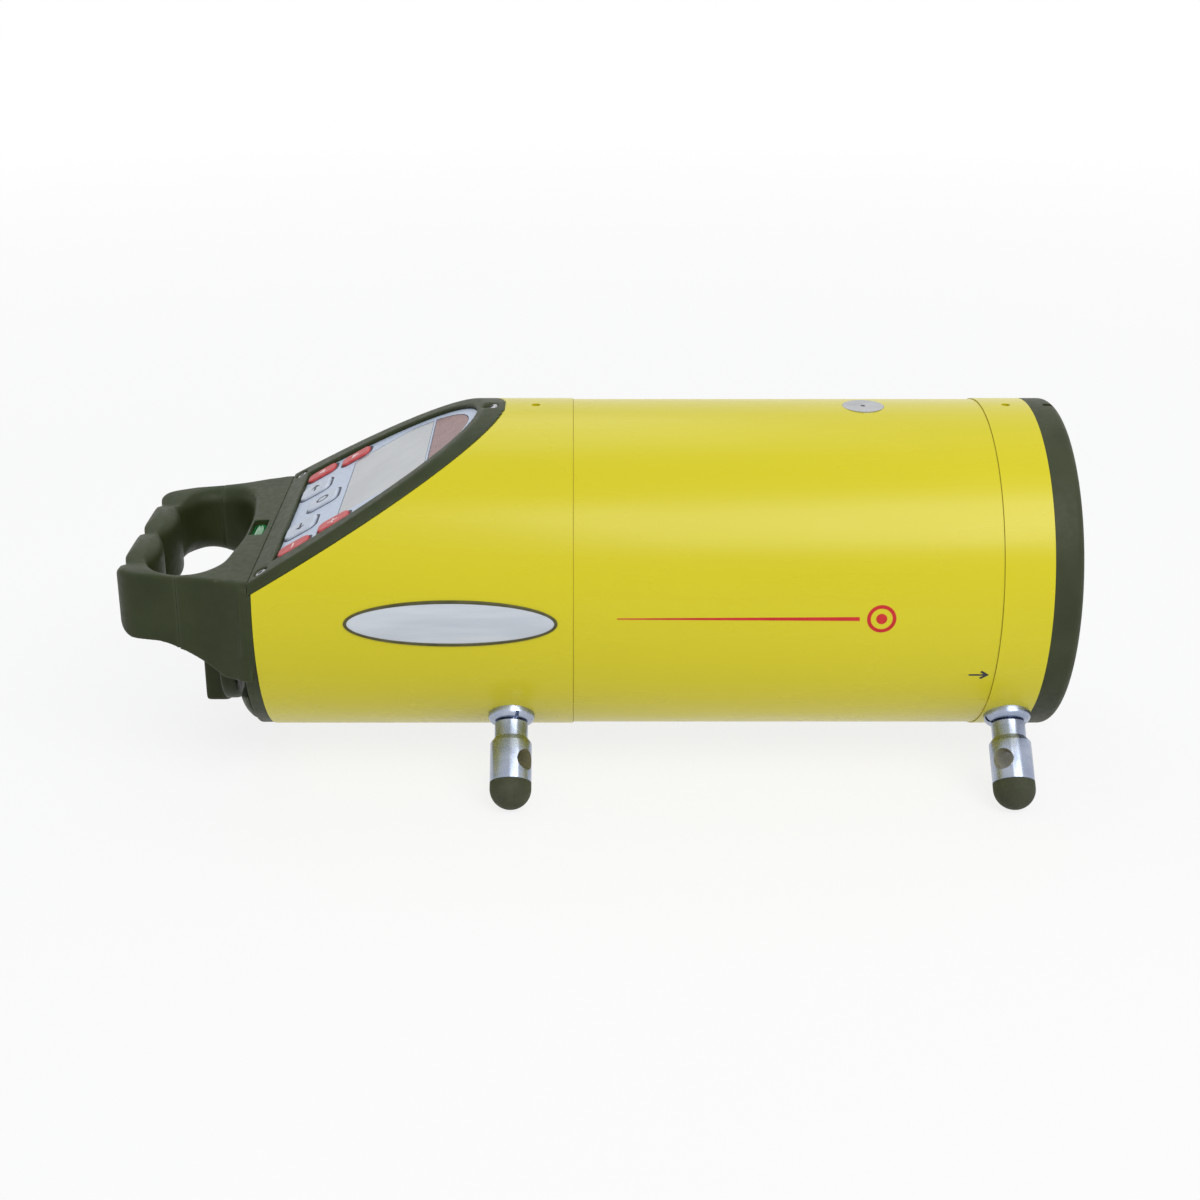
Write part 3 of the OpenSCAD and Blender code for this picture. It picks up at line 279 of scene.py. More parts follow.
def display_face():
    """Grey display glass over a faint grid of cells, in line with the slope."""
    material = surface("display_face", srgb(180, 182, 185), srgb(192, 194, 196), (0.1, 0.18), patch=70,
                       grain=600, bump=0.03, sockets={"Specular IOR Level": 0.35})
    tree = material.node_tree
    shader = tree.nodes["Principled BSDF"]
    colour = shader.inputs["Base Color"].links[0].from_socket
    coordinates = tree.nodes.new("ShaderNodeTexCoord")
    level = tree.nodes.new("ShaderNodeMapping")
    level.inputs["Rotation"].default_value = (0, SLOPE, 0)
    tree.links.new(coordinates.outputs["Object"], level.inputs["Vector"])
    cells = tree.nodes.new("ShaderNodeTexWave")
    cells.bands_direction = "Y"
    cells.inputs["Scale"].default_value = 260
    tree.links.new(level.outputs["Vector"], cells.inputs["Vector"])
    faint = ramp(tree, cells.outputs["Fac"], [(0.9, (0, 0, 0, 1)), (1, (0.12, 0.12, 0.12, 1))])
    colour = blend_colour(tree, faint, colour, srgb(150, 152, 146))
    tree.links.new(colour, shader.inputs["Base Color"])
    return material


# Legs, as node: side of the body, turn of the cross hole, turn of the collar's slot
LEG_ANGLE = math.radians(45)
LEG_HOLE_OUT = 62.65
LEG_HOLE_R = 3
HOLE_TOLERANCE = 0.02
LEGS = [("leg_rear_right", -1, 50, -17), ("leg_rear_left", 1, 15, 30),
        ("leg_front_right", -1, -38, 80), ("leg_front_left", 1, 60, -50)]


def middle_x(node):
    low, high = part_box(node)
    return ((low.x + high.x) / 2 - SEAM_X) / MM


LEG_X = {leg[0]: middle_x(leg[0]) for leg in LEGS}


def on_leg(node, side, x, y, out):
    """A place in a leg's frame: x along the body, y across the leg, out along it from the body axis."""
    tilt = math.pi + side * LEG_ANGLE
    return at(
        LEG_X[node] + x,
        y * math.cos(tilt) - out * math.sin(tilt),
        y * math.sin(tilt) + out * math.cos(tilt),
    )


def crossed(tree, vector, other):
    """The cross product of a vector with another one, which is a fixed direction or a socket."""
    cross = tree.nodes.new("ShaderNodeVectorMath")
    cross.operation = "CROSS_PRODUCT"
    tree.links.new(vector, cross.inputs[0])
    if isinstance(other, Vector):
        cross.inputs[1].default_value = other.normalized()
    else:
        tree.links.new(other, cross.inputs[1])
    return cross.outputs["Vector"]


def compared(tree, value, operation, limit):
    node = tree.nodes.new("ShaderNodeMath")
    node.operation = operation
    node.inputs[1].default_value = limit
    tree.links.new(value, node.inputs[0])
    return node.outputs["Value"]


def leg_metal(node, side, turn):
    """Chrome turned on a lathe: reflections run along the leg, and the cross hole's wall is plain, in an
    olive grey that is a painted reflection of the yellow body.
    """
    turn = math.radians(turn)
    centre = on_leg(node, side, 0, 0, LEG_HOLE_OUT)
    hole_axis = on_leg(node, side, math.sin(turn), math.cos(turn), LEG_HOLE_OUT) - centre
    leg_axis = on_leg(node, side, 0, 0, LEG_HOLE_OUT + 1) - centre
    material = chrome.copy()
    material.name = node + "_metal"
    tree = material.node_tree
    shader = tree.nodes["Principled BSDF"]
    place = placed_coordinates(tree, (1, 1, 1), centre)
    distance = tree.nodes.new("ShaderNodeVectorMath")
    distance.operation = "LENGTH"
    tree.links.new(crossed(tree, place, hole_axis), distance.inputs[0])
    from_axis = distance.outputs["Value"]
    wall = (LEG_HOLE_R + HOLE_TOLERANCE) * MM
    in_hole = compared(tree, from_axis, "LESS_THAN", wall)
    on_shaft = compared(tree, from_axis, "GREATER_THAN", wall)
    colour = shader.inputs["Base Color"].links[0].from_socket
    # the hole's wall takes an olive grey: a painted reflection of the yellow body
    tree.links.new(blend_colour(tree, in_hole, colour, srgb(142, 138, 108)), shader.inputs["Base Color"])
    tree.links.new(on_shaft, shader.inputs["Metallic"])
    normal = tree.nodes.new("ShaderNodeNewGeometry").outputs["Normal"]
    around = crossed(tree, place, leg_axis)
    tree.links.new(crossed(tree, around, normal), shader.inputs["Tangent"])
    shader.inputs["Anisotropic"].default_value = 0.9
    return material


turned_silver = turned_metal()
display_glass = display_face()

NODE_MATERIALS = [
    (yellow_paint, ["rear_housing", "main_tube", "front_ring"]),
    (black_plastic, ["front_rim"]),
    (dark_plastic, ["window_retainer", "battery_pack", "battery_bay", "display_module",
                    "line_actuator", "grade_actuator", "level_sensor"]),
    (steel, ["rear_joint_screws", "front_joint_screws", "grip_pins", "cover_screws", "knob_clip",
             "line_pin", "line_rod", "tilt_pins", "grade_rod"]),
    (alloy, ["chassis", "line_yoke"]),
    (dark_alloy, ["laser_barrel"]),
    (turned_silver, ["pivot_mark"]),
    (rubber, ["foot_rear_right", "foot_rear_left", "foot_front_right", "foot_front_left",
              "window_gasket", "rear_seal", "front_seal"]),
    (window_glass, ["front_window", "collimator_lens"]),
    (keypad_film, ["keypad_plate"]),
    (display_glass, ["display_window"]),
    (receiver_red, ["receiver_window"]),
    (lamp_green, ["status_lamp"]),
    (board_green, ["display_board", "main_board"]),
    (brass, ["battery_contacts", "laser_diode"]),
]
for material, names in NODE_MATERIALS:
    for name in names:
        NODES[name].data.materials.clear()
        NODES[name].data.materials.append(material)


# Mesh building


def add_piece(name, mesh, material, body, replaced=()):
    piece = bpy.data.objects.new(name, mesh)
    bpy.context.scene.collection.objects.link(piece)
    mesh.materials.clear()
    mesh.materials.append(material)
    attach(piece, body)
    if replaced:
        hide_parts(*replaced)
    return piece


def mesh_from(build, smooth_angle=None):
    """A mesh from a function that fills a bmesh, with its edges sharp past an angle in degrees."""
    mesh = bpy.data.meshes.new("piece")
    work = bmesh.new()
    build(work)
    bmesh.ops.recalc_face_normals(work, faces=work.faces[:])
    for face in work.faces:
        face.smooth = smooth_angle is not None
    if smooth_angle is not None:
        for edge in work.edges:
            edge.smooth = edge.calc_face_angle(0) < math.radians(smooth_angle)
    work.to_mesh(mesh)
    work.free()
    return mesh


def add_loft(work, loops):
    """Closed rings of points, joined one to the next, with both ends closed."""
    rings = [[work.verts.new(p) for p in loop] for loop in loops]
    for lower, upper in zip(rings, rings[1:]):
        for i in range(len(lower)):
            j = (i + 1) % len(lower)
            work.faces.new((lower[i], lower[j], upper[j], upper[i]))
    work.faces.new(rings[0])
    work.faces.new(rings[-1])


def add_band(work, outlines):
    """Closed rings of points, joined one to the next and the last to the first: a ring of metal."""
    rings = [[work.verts.new(p) for p in outline] for outline in outlines]
    for lower, upper in zip(rings, rings[1:] + rings[:1]):
        for i in range(len(lower)):
            j = (i + 1) % len(lower)
            work.faces.new((lower[i], lower[j], upper[j], upper[i]))


def circle(r, count):
    turns = [2 * math.pi * i / count for i in range(count)]
    return [(r * math.cos(a), r * math.sin(a)) for a in turns]


def hexagon(r, count):
    """A hexagon drawn with as many points as a circle."""
    points = []
    for i in range(count):
        a = 2 * math.pi * i / count
        reach = r * math.cos(math.pi / 6) / math.cos(a % (math.pi / 3) - math.pi / 6)
        points.append((reach * math.cos(a), reach * math.sin(a)))
    return points


def rounded_rectangle(length, width, r, steps=7):
    points = []
    corners = [(1, 1, 0), (-1, 1, 90), (-1, -1, 180), (1, -1, 270)]
    for sx, sy, start in corners:
        for i in range(steps + 1):
            a = math.radians(start + 90 * i / steps)
            x = sx * (length / 2 - r) + r * math.cos(a)
            y = sy * (width / 2 - r) + r * math.sin(a)
            points.append((x, y))
    return points


# Moulded pieces with soft edges


def along(co):
    return (co.x - SEAM_X) / MM


def applied(piece):
    """Turns a piece's modifiers into its mesh."""
    graph = bpy.context.evaluated_depsgraph_get()
    mesh = bpy.data.meshes.new_from_object(piece.evaluated_get(graph))
    piece.modifiers.clear()
    piece.data = mesh
    return mesh


def cut(mesh, cutter_mesh):
    """A mesh with another taken away from it, and its edges sharp again."""
    scene = bpy.context.scene.collection.objects
    piece = bpy.data.objects.new("cut", mesh)
    cutter = bpy.data.objects.new("cutter", cutter_mesh)
    scene.link(piece)
    scene.link(cutter)
    taken = piece.modifiers.new("cut", "BOOLEAN")
    taken.object = cutter
    taken.solver = "EXACT"
    result = applied(piece)
    bpy.data.objects.remove(piece)
    bpy.data.objects.remove(cutter)
    return mesh_from(lambda work: work.from_mesh(result), 32)


def smoothed(piece, passes, weight):
    """Rounds a piece. weight says how much each place gives way."""
    group = piece.vertex_groups.new(name="soft")
    for vertex in piece.data.vertices:
        group.add([vertex.index], weight(vertex.co), "REPLACE")
    smooth = piece.modifiers.new("smooth", "SMOOTH")
    smooth.factor = 0.5
    smooth.iterations = passes
    smooth.vertex_group = "soft"
    applied(piece)
    piece.vertex_groups.clear()


# The handle: its level grip, its arms that sweep down to the body, and the finger hole between them
GRIP_UNDER = -9.6
DECK_UNDER = -8.7
ARM_UNDER = -18.2
GRIP_TOP = 10.34
DECK_RISE = 1 / 21
ARM_INNER = 30.8
ARM_FROM = -116.5
ARM_TO = -97
ARM_POWER = 1.6
COVER_X = -91.2
COVER_R = 47.8
DECK_HALF = 46.44
ARM_HALF = 44.2
ARM_TAPER = math.tan(math.radians(13.5))
ARM_SWEEP = 14
HOLE_X = -108
HOLE_HALF = 33.5
HOLE_FRONT = 12.2
HOLE_BACK = 15.27
HOLE_POWER = 2.4
LOBE_X = -147
LOBE_R = 28
LOBE_PITCH = 24.3
LOBES = [LOBE_PITCH * i for i in (-1.5, -0.5, 0.5, 1.5)]
ARMS_FROM = 18
ARMS_OVER = 12
LOWER_RIM_GRIP = 1.5
LOWER_RIM_ARM = 6
UPPER_RIM_DECK = 2
UPPER_RIM_ARM = 5
UPPER_RIM_GRIP = 4.5
SIDE_RIM_BODY = 2.8
SIDE_RIM_ARM = 1
WALL_SLACK = 1.5
FACE_SLACK = 0.5
PIN_R = 1.2
PIN_BORE_R = 1.4
PIN_LOW, PIN_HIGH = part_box("grip_pins")


def hole_wall(co):
    """Depth of a place behind the finger hole's wall in millimetres, and the way out of the hole there."""
    x = along(co) - HOLE_X
    y = co.y / MM
    reach = HOLE_FRONT if x > 0 else HOLE_BACK
    u = abs(x / reach)
    w = abs(y / HOLE_HALF)
    share = max(0.1, (u ** HOLE_POWER + w ** HOLE_POWER) ** (1 / HOLE_POWER))
    slope = HOLE_POWER - 1
    way = Vector((math.copysign(u ** slope / reach, x), math.copysign(w ** slope / HOLE_HALF, y), 0))
    depth = math.hypot(x, y) * (1 - 1 / share)
    for lobe in LOBES:
        inward = Vector((LOBE_X - along(co), lobe - y, 0))
        if LOBE_R - inward.length > depth:
            depth = LOBE_R - inward.length
            way = inward
    return depth, way.normalized()


def side_wall(co):
    """Depth of a place inside the handle's outer side in millimetres, and the way in there."""
    x = along(co)
    z = (co.z - AXIS_Z) / MM
    half = math.sqrt(COVER_R ** 2 - min(z ** 2, COVER_R ** 2))
    if x < COVER_X:
        swept = max(0, 1 - (COVER_X - x) / ARM_SWEEP) ** 2
        half = ARM_HALF + (x - REAR_X) * ARM_TAPER
        half += (DECK_HALF - ARM_HALF - (COVER_X - REAR_X) * ARM_TAPER) * swept
    return half - abs(co.y) / MM, Vector((0, -math.copysign(1, co.y), 0))


def above_underside(co):
    start, end = (ARM_FROM, ARM_UNDER) if abs(co.y) > ARM_INNER * MM else (JOINT_X, DECK_UNDER)
    t = min(1, max(0, (along(co) - start) / (ARM_TO - start)))
    power = ARM_POWER if end == ARM_UNDER else 1
    return (co.z - AXIS_Z) / MM - mixed(GRIP_UNDER, end, t ** power)


def below_top(co):
    return GRIP_TOP + max(0, along(co) - JOINT_X) * DECK_RISE - (co.z - AXIS_Z) / MM


def towards_arms(co):
    return eased((abs(co.y) / MM - ARMS_FROM) / ARMS_OVER)


def lower_rim(co):
    return mixed(LOWER_RIM_GRIP, LOWER_RIM_ARM, towards_arms(co))


def upper_rim(co):
    at_grip = eased((JOINT_X - along(co)) / 4)
    at_deck = mixed(UPPER_RIM_DECK, UPPER_RIM_ARM, towards_arms(co))
    return mixed(at_deck, UPPER_RIM_GRIP, at_grip)


def side_rim(co):
    return mixed(SIDE_RIM_BODY, SIDE_RIM_ARM, eased((COVER_X - along(co)) / 6))


def in_pin_bore(co):
    """Whether a place is on the wall of a bore for one of the pins that hold the grip."""
    across = abs(co.y) - PIN_HIGH.y + PIN_R * MM
    up = min(abs(co.z - PIN_LOW.z - PIN_R * MM), abs(co.z - PIN_HIGH.z + PIN_R * MM))
    return math.hypot(across, up) < PIN_BORE_R * MM


def round_rim(mesh, wall, radius, height, up):
    """Rounds the edge between a wall and a level face. height is the distance from that face."""
    for vertex in mesh.vertices:
        r = radius(vertex.co)
        depth, way = wall(vertex.co)
        rise = height(vertex.co)
        reach = math.hypot(depth - r, rise - r)
        if -WALL_SLACK < depth < r and -FACE_SLACK < rise < r and reach > r:
            share = r / reach - 1
            vertex.co += way * (depth - r) * share * MM
            vertex.co.z += up * (rise - r) * share * MM


def softened(node, voxel, stages, keep, body, flush_x=None):
    """A moulded copy of a node, its edges rounded in stages.

    A face at flush_x is a joint: it is kept square, and the pin bores that open in it are closed.
    """
    work = bmesh.new()
    work.from_mesh(NODES[node].data)
    bmesh.ops.remove_doubles(work, verts=work.verts[:], dist=0.000002)
    if flush_x is not None:
        for vertex in work.verts:
            if in_pin_bore(vertex.co):
                vertex.co.x = SEAM_X + flush_x * MM
    mesh = bpy.data.meshes.new(node + "_skin")
    work.to_mesh(mesh)
    work.free()
    piece = bpy.data.objects.new(node + "_skin", mesh)
    bpy.context.scene.collection.objects.link(piece)
    remesh = piece.modifiers.new("remesh", "REMESH")
    remesh.mode = "VOXEL"
    remesh.voxel_size = voxel * MM
    applied(piece)
    if flush_x is not None:
        round_rim(piece.data, hole_wall, lower_rim, above_underside, 1)
        round_rim(piece.data, hole_wall, upper_rim, below_top, -1)
        round_rim(piece.data, side_wall, side_rim, below_top, -1)
    for passes, weight in stages:
        smoothed(piece, passes, weight)
    if flush_x is not None:
        for vertex in piece.data.vertices:
            if abs(along(vertex.co) - flush_x) < voxel:
                vertex.co.x = SEAM_X + flush_x * MM
    thin = piece.modifiers.new("thin", "DECIMATE")
    thin.ratio = keep
    mesh = applied(piece)
    mesh.materials.clear()
    mesh.materials.append(edge_toned_plastic)
    for polygon in mesh.polygons:
        polygon.use_smooth = True
    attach(piece, body)
    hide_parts(node)
    return piece


# Places behind which a piece is rounded
CORNER_SOFT_X = -117
PLATE_SOFT_X = -91.9
KNOB_SOFT_X = -99


def above_slope(co):
    x = along(co)
    z = (co.z - AXIS_Z) / MM
    return (SLOPE_TOP_X - x) * math.sin(SLOPE) + (z - BODY_R) * math.cos(SLOPE)


def handle_gives(co):
    """The handle is rounded, but its mating faces at the body and at the grip's joint stay true."""
    x = along(co)
    firm = 1 if (co.z - AXIS_Z) / MM > -20 else 3
    from_body = 0.04 + 0.96 * eased((REAR_X - firm - x) / 2)
    from_joint = 0.3 + 0.7 * eased((abs(x - JOINT_X) - 0.2) / 1.5)
    return from_body * from_joint


def corner_gives(co):
    """The grip's two rear corners are rounder than the rest of it."""
    outer = eased((abs(co.y) / MM - 30) / 5)
    rear = eased((CORNER_SOFT_X - along(co)) / 6)
    upper = eased((co.z - AXIS_Z) / MM / 6)
    return outer * rear * upper


def bezel_gives(co):
    return eased((above_slope(co) - 0.6) / 1.2)


def plate_gives(co):
    return eased((PLATE_SOFT_X - along(co)) / 1.2)


def knob_gives(co):
    return eased((KNOB_SOFT_X - along(co)) / 1.5)


cover_skin = softened("rear_cover", 0.36, [(18, handle_gives)], 0.16, "case", JOINT_X)
softened("grip", 0.36, [(18, handle_gives), (90, corner_gives)], 0.2, "case", JOINT_X)
softened("panel_bezel", 0.35, [(20, bezel_gives)], 0.25, "case")
softened("battery_end_plate", 0.4, [(8, plate_gives)], 0.3, "battery")
softened("battery_knob", 0.35, [(60, knob_gives)], 0.3, "knob")


# Keys: a domed cap on each key's body, with a printed line round it whose heavier side is a painted shadow,
# and a sign on it

KEY_ROUND = 2.2
SIDE_KEY_W = 6.8
MID_KEY_W = 10


def middle_of_key(node):
    """A key's place: its distance down the slope and across it, from its solid's box."""
    low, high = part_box(node)
    middle = (low + high) / 2
    x = along(middle)
    z = (middle.z - AXIS_Z) / MM
    v = (SLOPE_TOP_X - x) * math.cos(SLOPE) - (z - BODY_R) * math.sin(SLOPE)
    return v, middle.y / MM


def key_loop(v, y, length, width, r, h):
    return [on_slope(v + a, y + b, h) for a, b in rounded_rectangle(length, width, r)]


def add_key(node, width, material):
    v, y = middle_of_key(node)
    profile = [(0, KEY_UNDER), (0, KEY_TOP - 0.5), (0.05, KEY_TOP - 0.3), (0.18, KEY_TOP - 0.12),
               (0.42, KEY_TOP - 0.02), (0.75, KEY_TOP), (1.3, KEY_TOP - 0.03)]

    def build(work):
        loops = []
        for inset, h in profile:
            r = max(0.6, KEY_ROUND - inset)
            loops.append(key_loop(v, y, KEY_LEN - 2 * inset, width - 2 * inset, r, h))
        add_loft(work, loops)

    add_piece(node + "_cap", mesh_from(build, 60), material, node, [node])


def add_flat(work, outline, h0, h1):
    """A thin plate on the panel from an outline of (v, y) points."""
    add_loft(work, [[on_slope(v, y, h0) for v, y in outline], [on_slope(v, y, h1) for v, y in outline]])


def add_key_outline_and_shadow(node, width):
    """The printed line round a key on the keypad; its heavier part below the key and to its right is a
    painted shadow of the key.
    """
    v, y = middle_of_key(node)
    inner = rounded_rectangle(KEY_LEN + 2 * KEY_GAP + 0.1, width + 2 * KEY_GAP + 0.1, KEY_ROUND + KEY_GAP)
    outer = rounded_rectangle(KEY_LEN + 1.5, width + 1.5, KEY_ROUND + 0.7)
    low = KEYPAD_TOP - 0.02
    high = KEYPAD_TOP + 0.04

    def build(work):
        # the outer edge is shifted, so the line is heavier on one side: a painted shadow of the raised key
        shifted = [(v - 0.22 + a, y - 0.3 + b) for a, b in outer]
        level = [(v + a, y + b) for a, b in inner]
        add_band(work, [
            [on_slope(a, b, low) for a, b in level],
            [on_slope(a, b, high) for a, b in level],
            [on_slope(a, b, high) for a, b in shifted],
            [on_slope(a, b, low) for a, b in shifted],
        ])

    add_piece(node + "_outline", mesh_from(build), ink_dark, "case")


def add_sign(node, outlines, material):
    """A sign printed on a key, from outlines of (down, across) points about the key's middle."""
    v, y = middle_of_key(node)

    def build(work):
        for outline in outlines:
            add_flat(work, [(v + a, y + b) for a, b in outline], KEY_TOP - 0.06, KEY_TOP + 0.02)

    add_piece(node + "_sign", mesh_from(build), material, node)


def arrow(side):
    """An arrow across a key, towards -Y for side -1."""
    points = [(-0.35, -2.4), (-0.35, 0.5), (-1.5, 0.5), (0, 2.6), (1.5, 0.5), (0.35, 0.5), (0.35, -2.4)]
    return [[(a, side * b) for a, b in points]]


def triangle(way):
    return [[(-1.4 * way, 0), (1.1 * way, -1.6), (1.1 * way, 1.6)]]


BAR = [(-0.3, -1.6), (-0.3, 1.6), (0.3, 1.6), (0.3, -1.6)]
POST = [(b, a) for a, b in BAR]
RING_STEPS = 28


def ring_sign(r_in, r_out):
    """A ring cut in short pieces, each an outline of its own."""
    pieces = []
    for i in range(RING_STEPS):
        a0 = 2 * math.pi * i / RING_STEPS
        a1 = 2 * math.pi * (i + 1) / RING_STEPS
        pieces.append([
            (r_in * math.cos(a0), r_in * math.sin(a0)),
            (r_out * math.cos(a0), r_out * math.sin(a0)),
            (r_out * math.cos(a1), r_out * math.sin(a1)),
            (r_in * math.cos(a1), r_in * math.sin(a1)),
        ])
    return pieces


MIDDLE_KEYS = [("key_left", arrow(1)), ("key_centre", ring_sign(1.5, 2.1)), ("key_right", arrow(-1))]
SIDE_KEYS = [("key_left_low", triangle(-1)), ("key_left_high", triangle(1)),
             ("key_right_high", [POST, BAR]), ("key_right_low", [BAR])]
for name, sign in MIDDLE_KEYS:
    add_key(name, MID_KEY_W, white_key)
    add_key_outline_and_shadow(name, MID_KEY_W)
    add_sign(name, sign, ink_dark)
for name, sign in SIDE_KEYS:
    add_key(name, SIDE_KEY_W, red_key)
    add_key_outline_and_shadow(name, SIDE_KEY_W)
    add_sign(name, sign, ink_pale)


# Legs: chromed shafts with a cross hole, in domed collars with a spanner slot

LEG_STEPS = 128
SHAFT = [(3, 44.5), (3, 50.85), (4.6, 50.85), (4.75, 51), (4.75, 55.3), (4.8, 55.5),
         (5.78, 56.8), (5.9, 57.05), (5.9, 68.3), (5.75, 68.45), (3.5, 68.45), (3.5, 71.4)]
COLLAR_R = 6.6
COLLAR_FOOT = 47.3
COLLAR_EDGE = 48.6
COLLAR_END = 50.5
COLLAR_FLAT = 5.2
COLLAR_BORE = 3.05
DOME_STEPS = 8
SLOT_W = 1
SLOT_FLOOR = 49.1
CUT_REACH = 10


def turned_rings(node, side, profile):
    """Rings about a leg's axis, from (radius, distance out) points."""
    return [[on_leg(node, side, a, b, out) for a, b in circle(r, LEG_STEPS)] for r, out in profile]


def cross_hole(work, node, side, turn):
    turn = math.radians(turn)
    loops = []
    for reach in (-CUT_REACH, CUT_REACH):
        loop = []
        for a, b in circle(LEG_HOLE_R, LEG_STEPS):
            x = a * math.cos(turn) + reach * math.sin(turn)
            y = reach * math.cos(turn) - a * math.sin(turn)
            loop.append(on_leg(node, side, x, y, LEG_HOLE_OUT + b))
        loops.append(loop)
    add_loft(work, loops)


def spanner_slot(work, node, side, turn):
    turn = math.radians(turn)
    loops = []
    for out in (SLOT_FLOOR, COLLAR_END + 1):
        loop = []
        for a, b in [(-1, -1), (1, -1), (1, 1), (-1, 1)]:
            x = a * SLOT_W / 2 * math.cos(turn) - b * 2 * COLLAR_R * math.sin(turn)
            y = a * SLOT_W / 2 * math.sin(turn) + b * 2 * COLLAR_R * math.cos(turn)
            loop.append(on_leg(node, side, x, y, out))
        loops.append(loop)
    add_loft(work, loops)


def collar_profile():
    points = [(COLLAR_BORE, COLLAR_FOOT), (COLLAR_R, COLLAR_FOOT)]
    for i in range(DOME_STEPS + 1):
        a = math.pi / 2 * i / DOME_STEPS
        r = mixed(COLLAR_FLAT, COLLAR_R, math.cos(a))
        points.append((r, mixed(COLLAR_EDGE, COLLAR_END, math.sin(a))))
    return points + [(COLLAR_BORE, COLLAR_END)]


def add_leg(node, side, turn, slot_turn):
    shaft = mesh_from(lambda work: add_loft(work, turned_rings(node, side, SHAFT)))
    hole = mesh_from(lambda work: cross_hole(work, node, side, turn))
    add_piece(node + "_shaft", cut(shaft, hole), leg_metal(node, side, turn), node, [node])
    collar = mesh_from(lambda work: add_band(work, turned_rings(node, side, collar_profile())))
    slot = mesh_from(lambda work: spanner_slot(work, node, side, slot_turn))
    return cut(collar, slot)


def add_legs():
    def build(work):
        for leg in LEGS:
            work.from_mesh(add_leg(*leg))

    add_piece("leg_collars", mesh_from(build, 32), chrome, "case", ["leg_sockets"])


add_legs()


# Frame screws: domed heads with a hexagon socket

SCREW_SEATS = [(4.25, 0, 0.6), (75.2, -41.2, 1.5), (75.2, 41.2, 1.5)]
HEAD_R = 1.8
HEAD_H = 1.2
SHANK_R = 1
SHANK_END = -4
HEAD_STEPS = 36


def add_frame_screws():
    profile = [(SHANK_R, SHANK_END), (SHANK_R, 0), (HEAD_R, 0), (HEAD_R, 0.75), (HEAD_R - 0.12, 0.98),
               (HEAD_R - 0.4, HEAD_H - 0.05), (HEAD_R - 0.75, HEAD_H)]
    socket = [(0.95, HEAD_H - 0.02), (0.9, 0.45), (0.5, 0.35)]

    def build(work):
        for v, y, seat in SCREW_SEATS:
            loops = []
            for r, h in profile:
                loops.append([on_slope(v + a, y + b, seat + h) for a, b in circle(r, HEAD_STEPS)])
            for r, h in socket:
                loops.append([on_slope(v + a, y + b, seat + h) for a, b in hexagon(r, HEAD_STEPS)])
            add_loft(work, loops)

    add_piece("frame_screws", mesh_from(build, 35), steel, "case", ["bezel_screws"])


add_frame_screws()


# Status lamp: a long lens on the floor of its recess, with a raised middle

LAMP_X = -92.3
LAMP_Y = -1.75
LAMP_Z = 9.14
RECESS_LEN = 4.4
RECESS_W = 12.5
LENS_GAP = 0.2


def lamp_loop(inset, r, h):
    outline = rounded_rectangle(RECESS_LEN - 2 * inset, RECESS_W - 2 * inset, r)
    return [at(LAMP_X + a, LAMP_Y + b, LAMP_Z + h) for a, b in outline]


def add_lamp():
    def recess(work):
        add_loft(work, [lamp_loop(0, 0.5, h) for h in (0, 4)])

    def lens(work):
        profile = [(0, 0), (0, 0.2), (0.15, 0.35), (0.45, 0.4), (0.75, 0.65), (1.2, 0.95), (1.7, 1.1)]
        add_loft(work, [lamp_loop(LENS_GAP + inset, max(0.1, 0.6 - inset / 3), h) for inset, h in profile])

    cover_skin.data = cut(cover_skin.data, mesh_from(recess))
    cover_skin.data.materials.append(edge_toned_plastic)
    add_piece("lamp_lens", mesh_from(lens, 40), lamp_green, "case")


add_lamp()


# Marks on the body: seam lines, a bare oval plate, a red stripe and an arrow

ROUND_STEPS = 180
SEAM_W = 0.18
SEAM_PROUD = 0.04
SEAM_DEPTH = 0.3


def add_seam(name, x0, x1, r):
    def build(work):
        outlines = []
        for x, reach in [(x0, r - SEAM_DEPTH), (x0, r), (x1, r), (x1, r - SEAM_DEPTH)]:
            outlines.append([at(x, a, b) for a, b in circle(reach, ROUND_STEPS)])
        add_band(work, outlines)

    add_piece(name, mesh_from(build, 40), seam_shade, "case")


add_seam("rear_seam_line", 0, SEAM_W, TUBE_R + SEAM_PROUD)
add_seam("front_seam_line", TUBE_LEN - SEAM_W, TUBE_LEN, TUBE_R + SEAM_PROUD)

BADGE_X = -33.4
BADGE_LEN = 58.4
BADGE_H = 13.6
BADGE_UP = 0.25
BADGE_STEPS = 96


def ellipse_loop(length, height, r):
    points = []
    for i in range(BADGE_STEPS):
        a = 2 * math.pi * i / BADGE_STEPS
        points.append(on_side(BADGE_X + length / 2 * math.cos(a), BADGE_UP + height / 2 * math.sin(a), r))
    return points


def add_badge():
    """An oval plate with a dark border and a raised, brushed middle, left bare."""
    def border(work):
        sizes = [(0, -0.2), (0, 0.3), (0.2, 0.42), (0.7, 0.42), (0.9, 0.3), (0.9, -0.2)]
        add_band(work, [ellipse_loop(BADGE_LEN - 2 * i, BADGE_H - 2 * i, BODY_R + h) for i, h in sizes])

    def face(work):
        sizes = [(0.9, -0.2), (0.9, 0.22), (1.5, 0.3), (3, 0.36), (4.6, 0.4)]
        add_loft(work, [ellipse_loop(BADGE_LEN - 2 * i, BADGE_H - 2 * i, BODY_R + h) for i, h in sizes])

    add_piece("oval_plate_border", mesh_from(border, 50), badge_rim, "case")
    add_piece("oval_plate_face", mesh_from(face, 50), badge_silver, "case")


add_badge()


def add_wrapped(name, outlines, r, material):
    """Thin printed shapes on the camera side, from outlines of (along, up the surface) points."""
    def build(work):
        for outline in outlines:
            add_loft(work, [[on_side(x, s, r - 0.1) for x, s in outline],
                            [on_side(x, s, r + 0.05) for x, s in outline]])

    add_piece(name, mesh_from(build), material, "case")


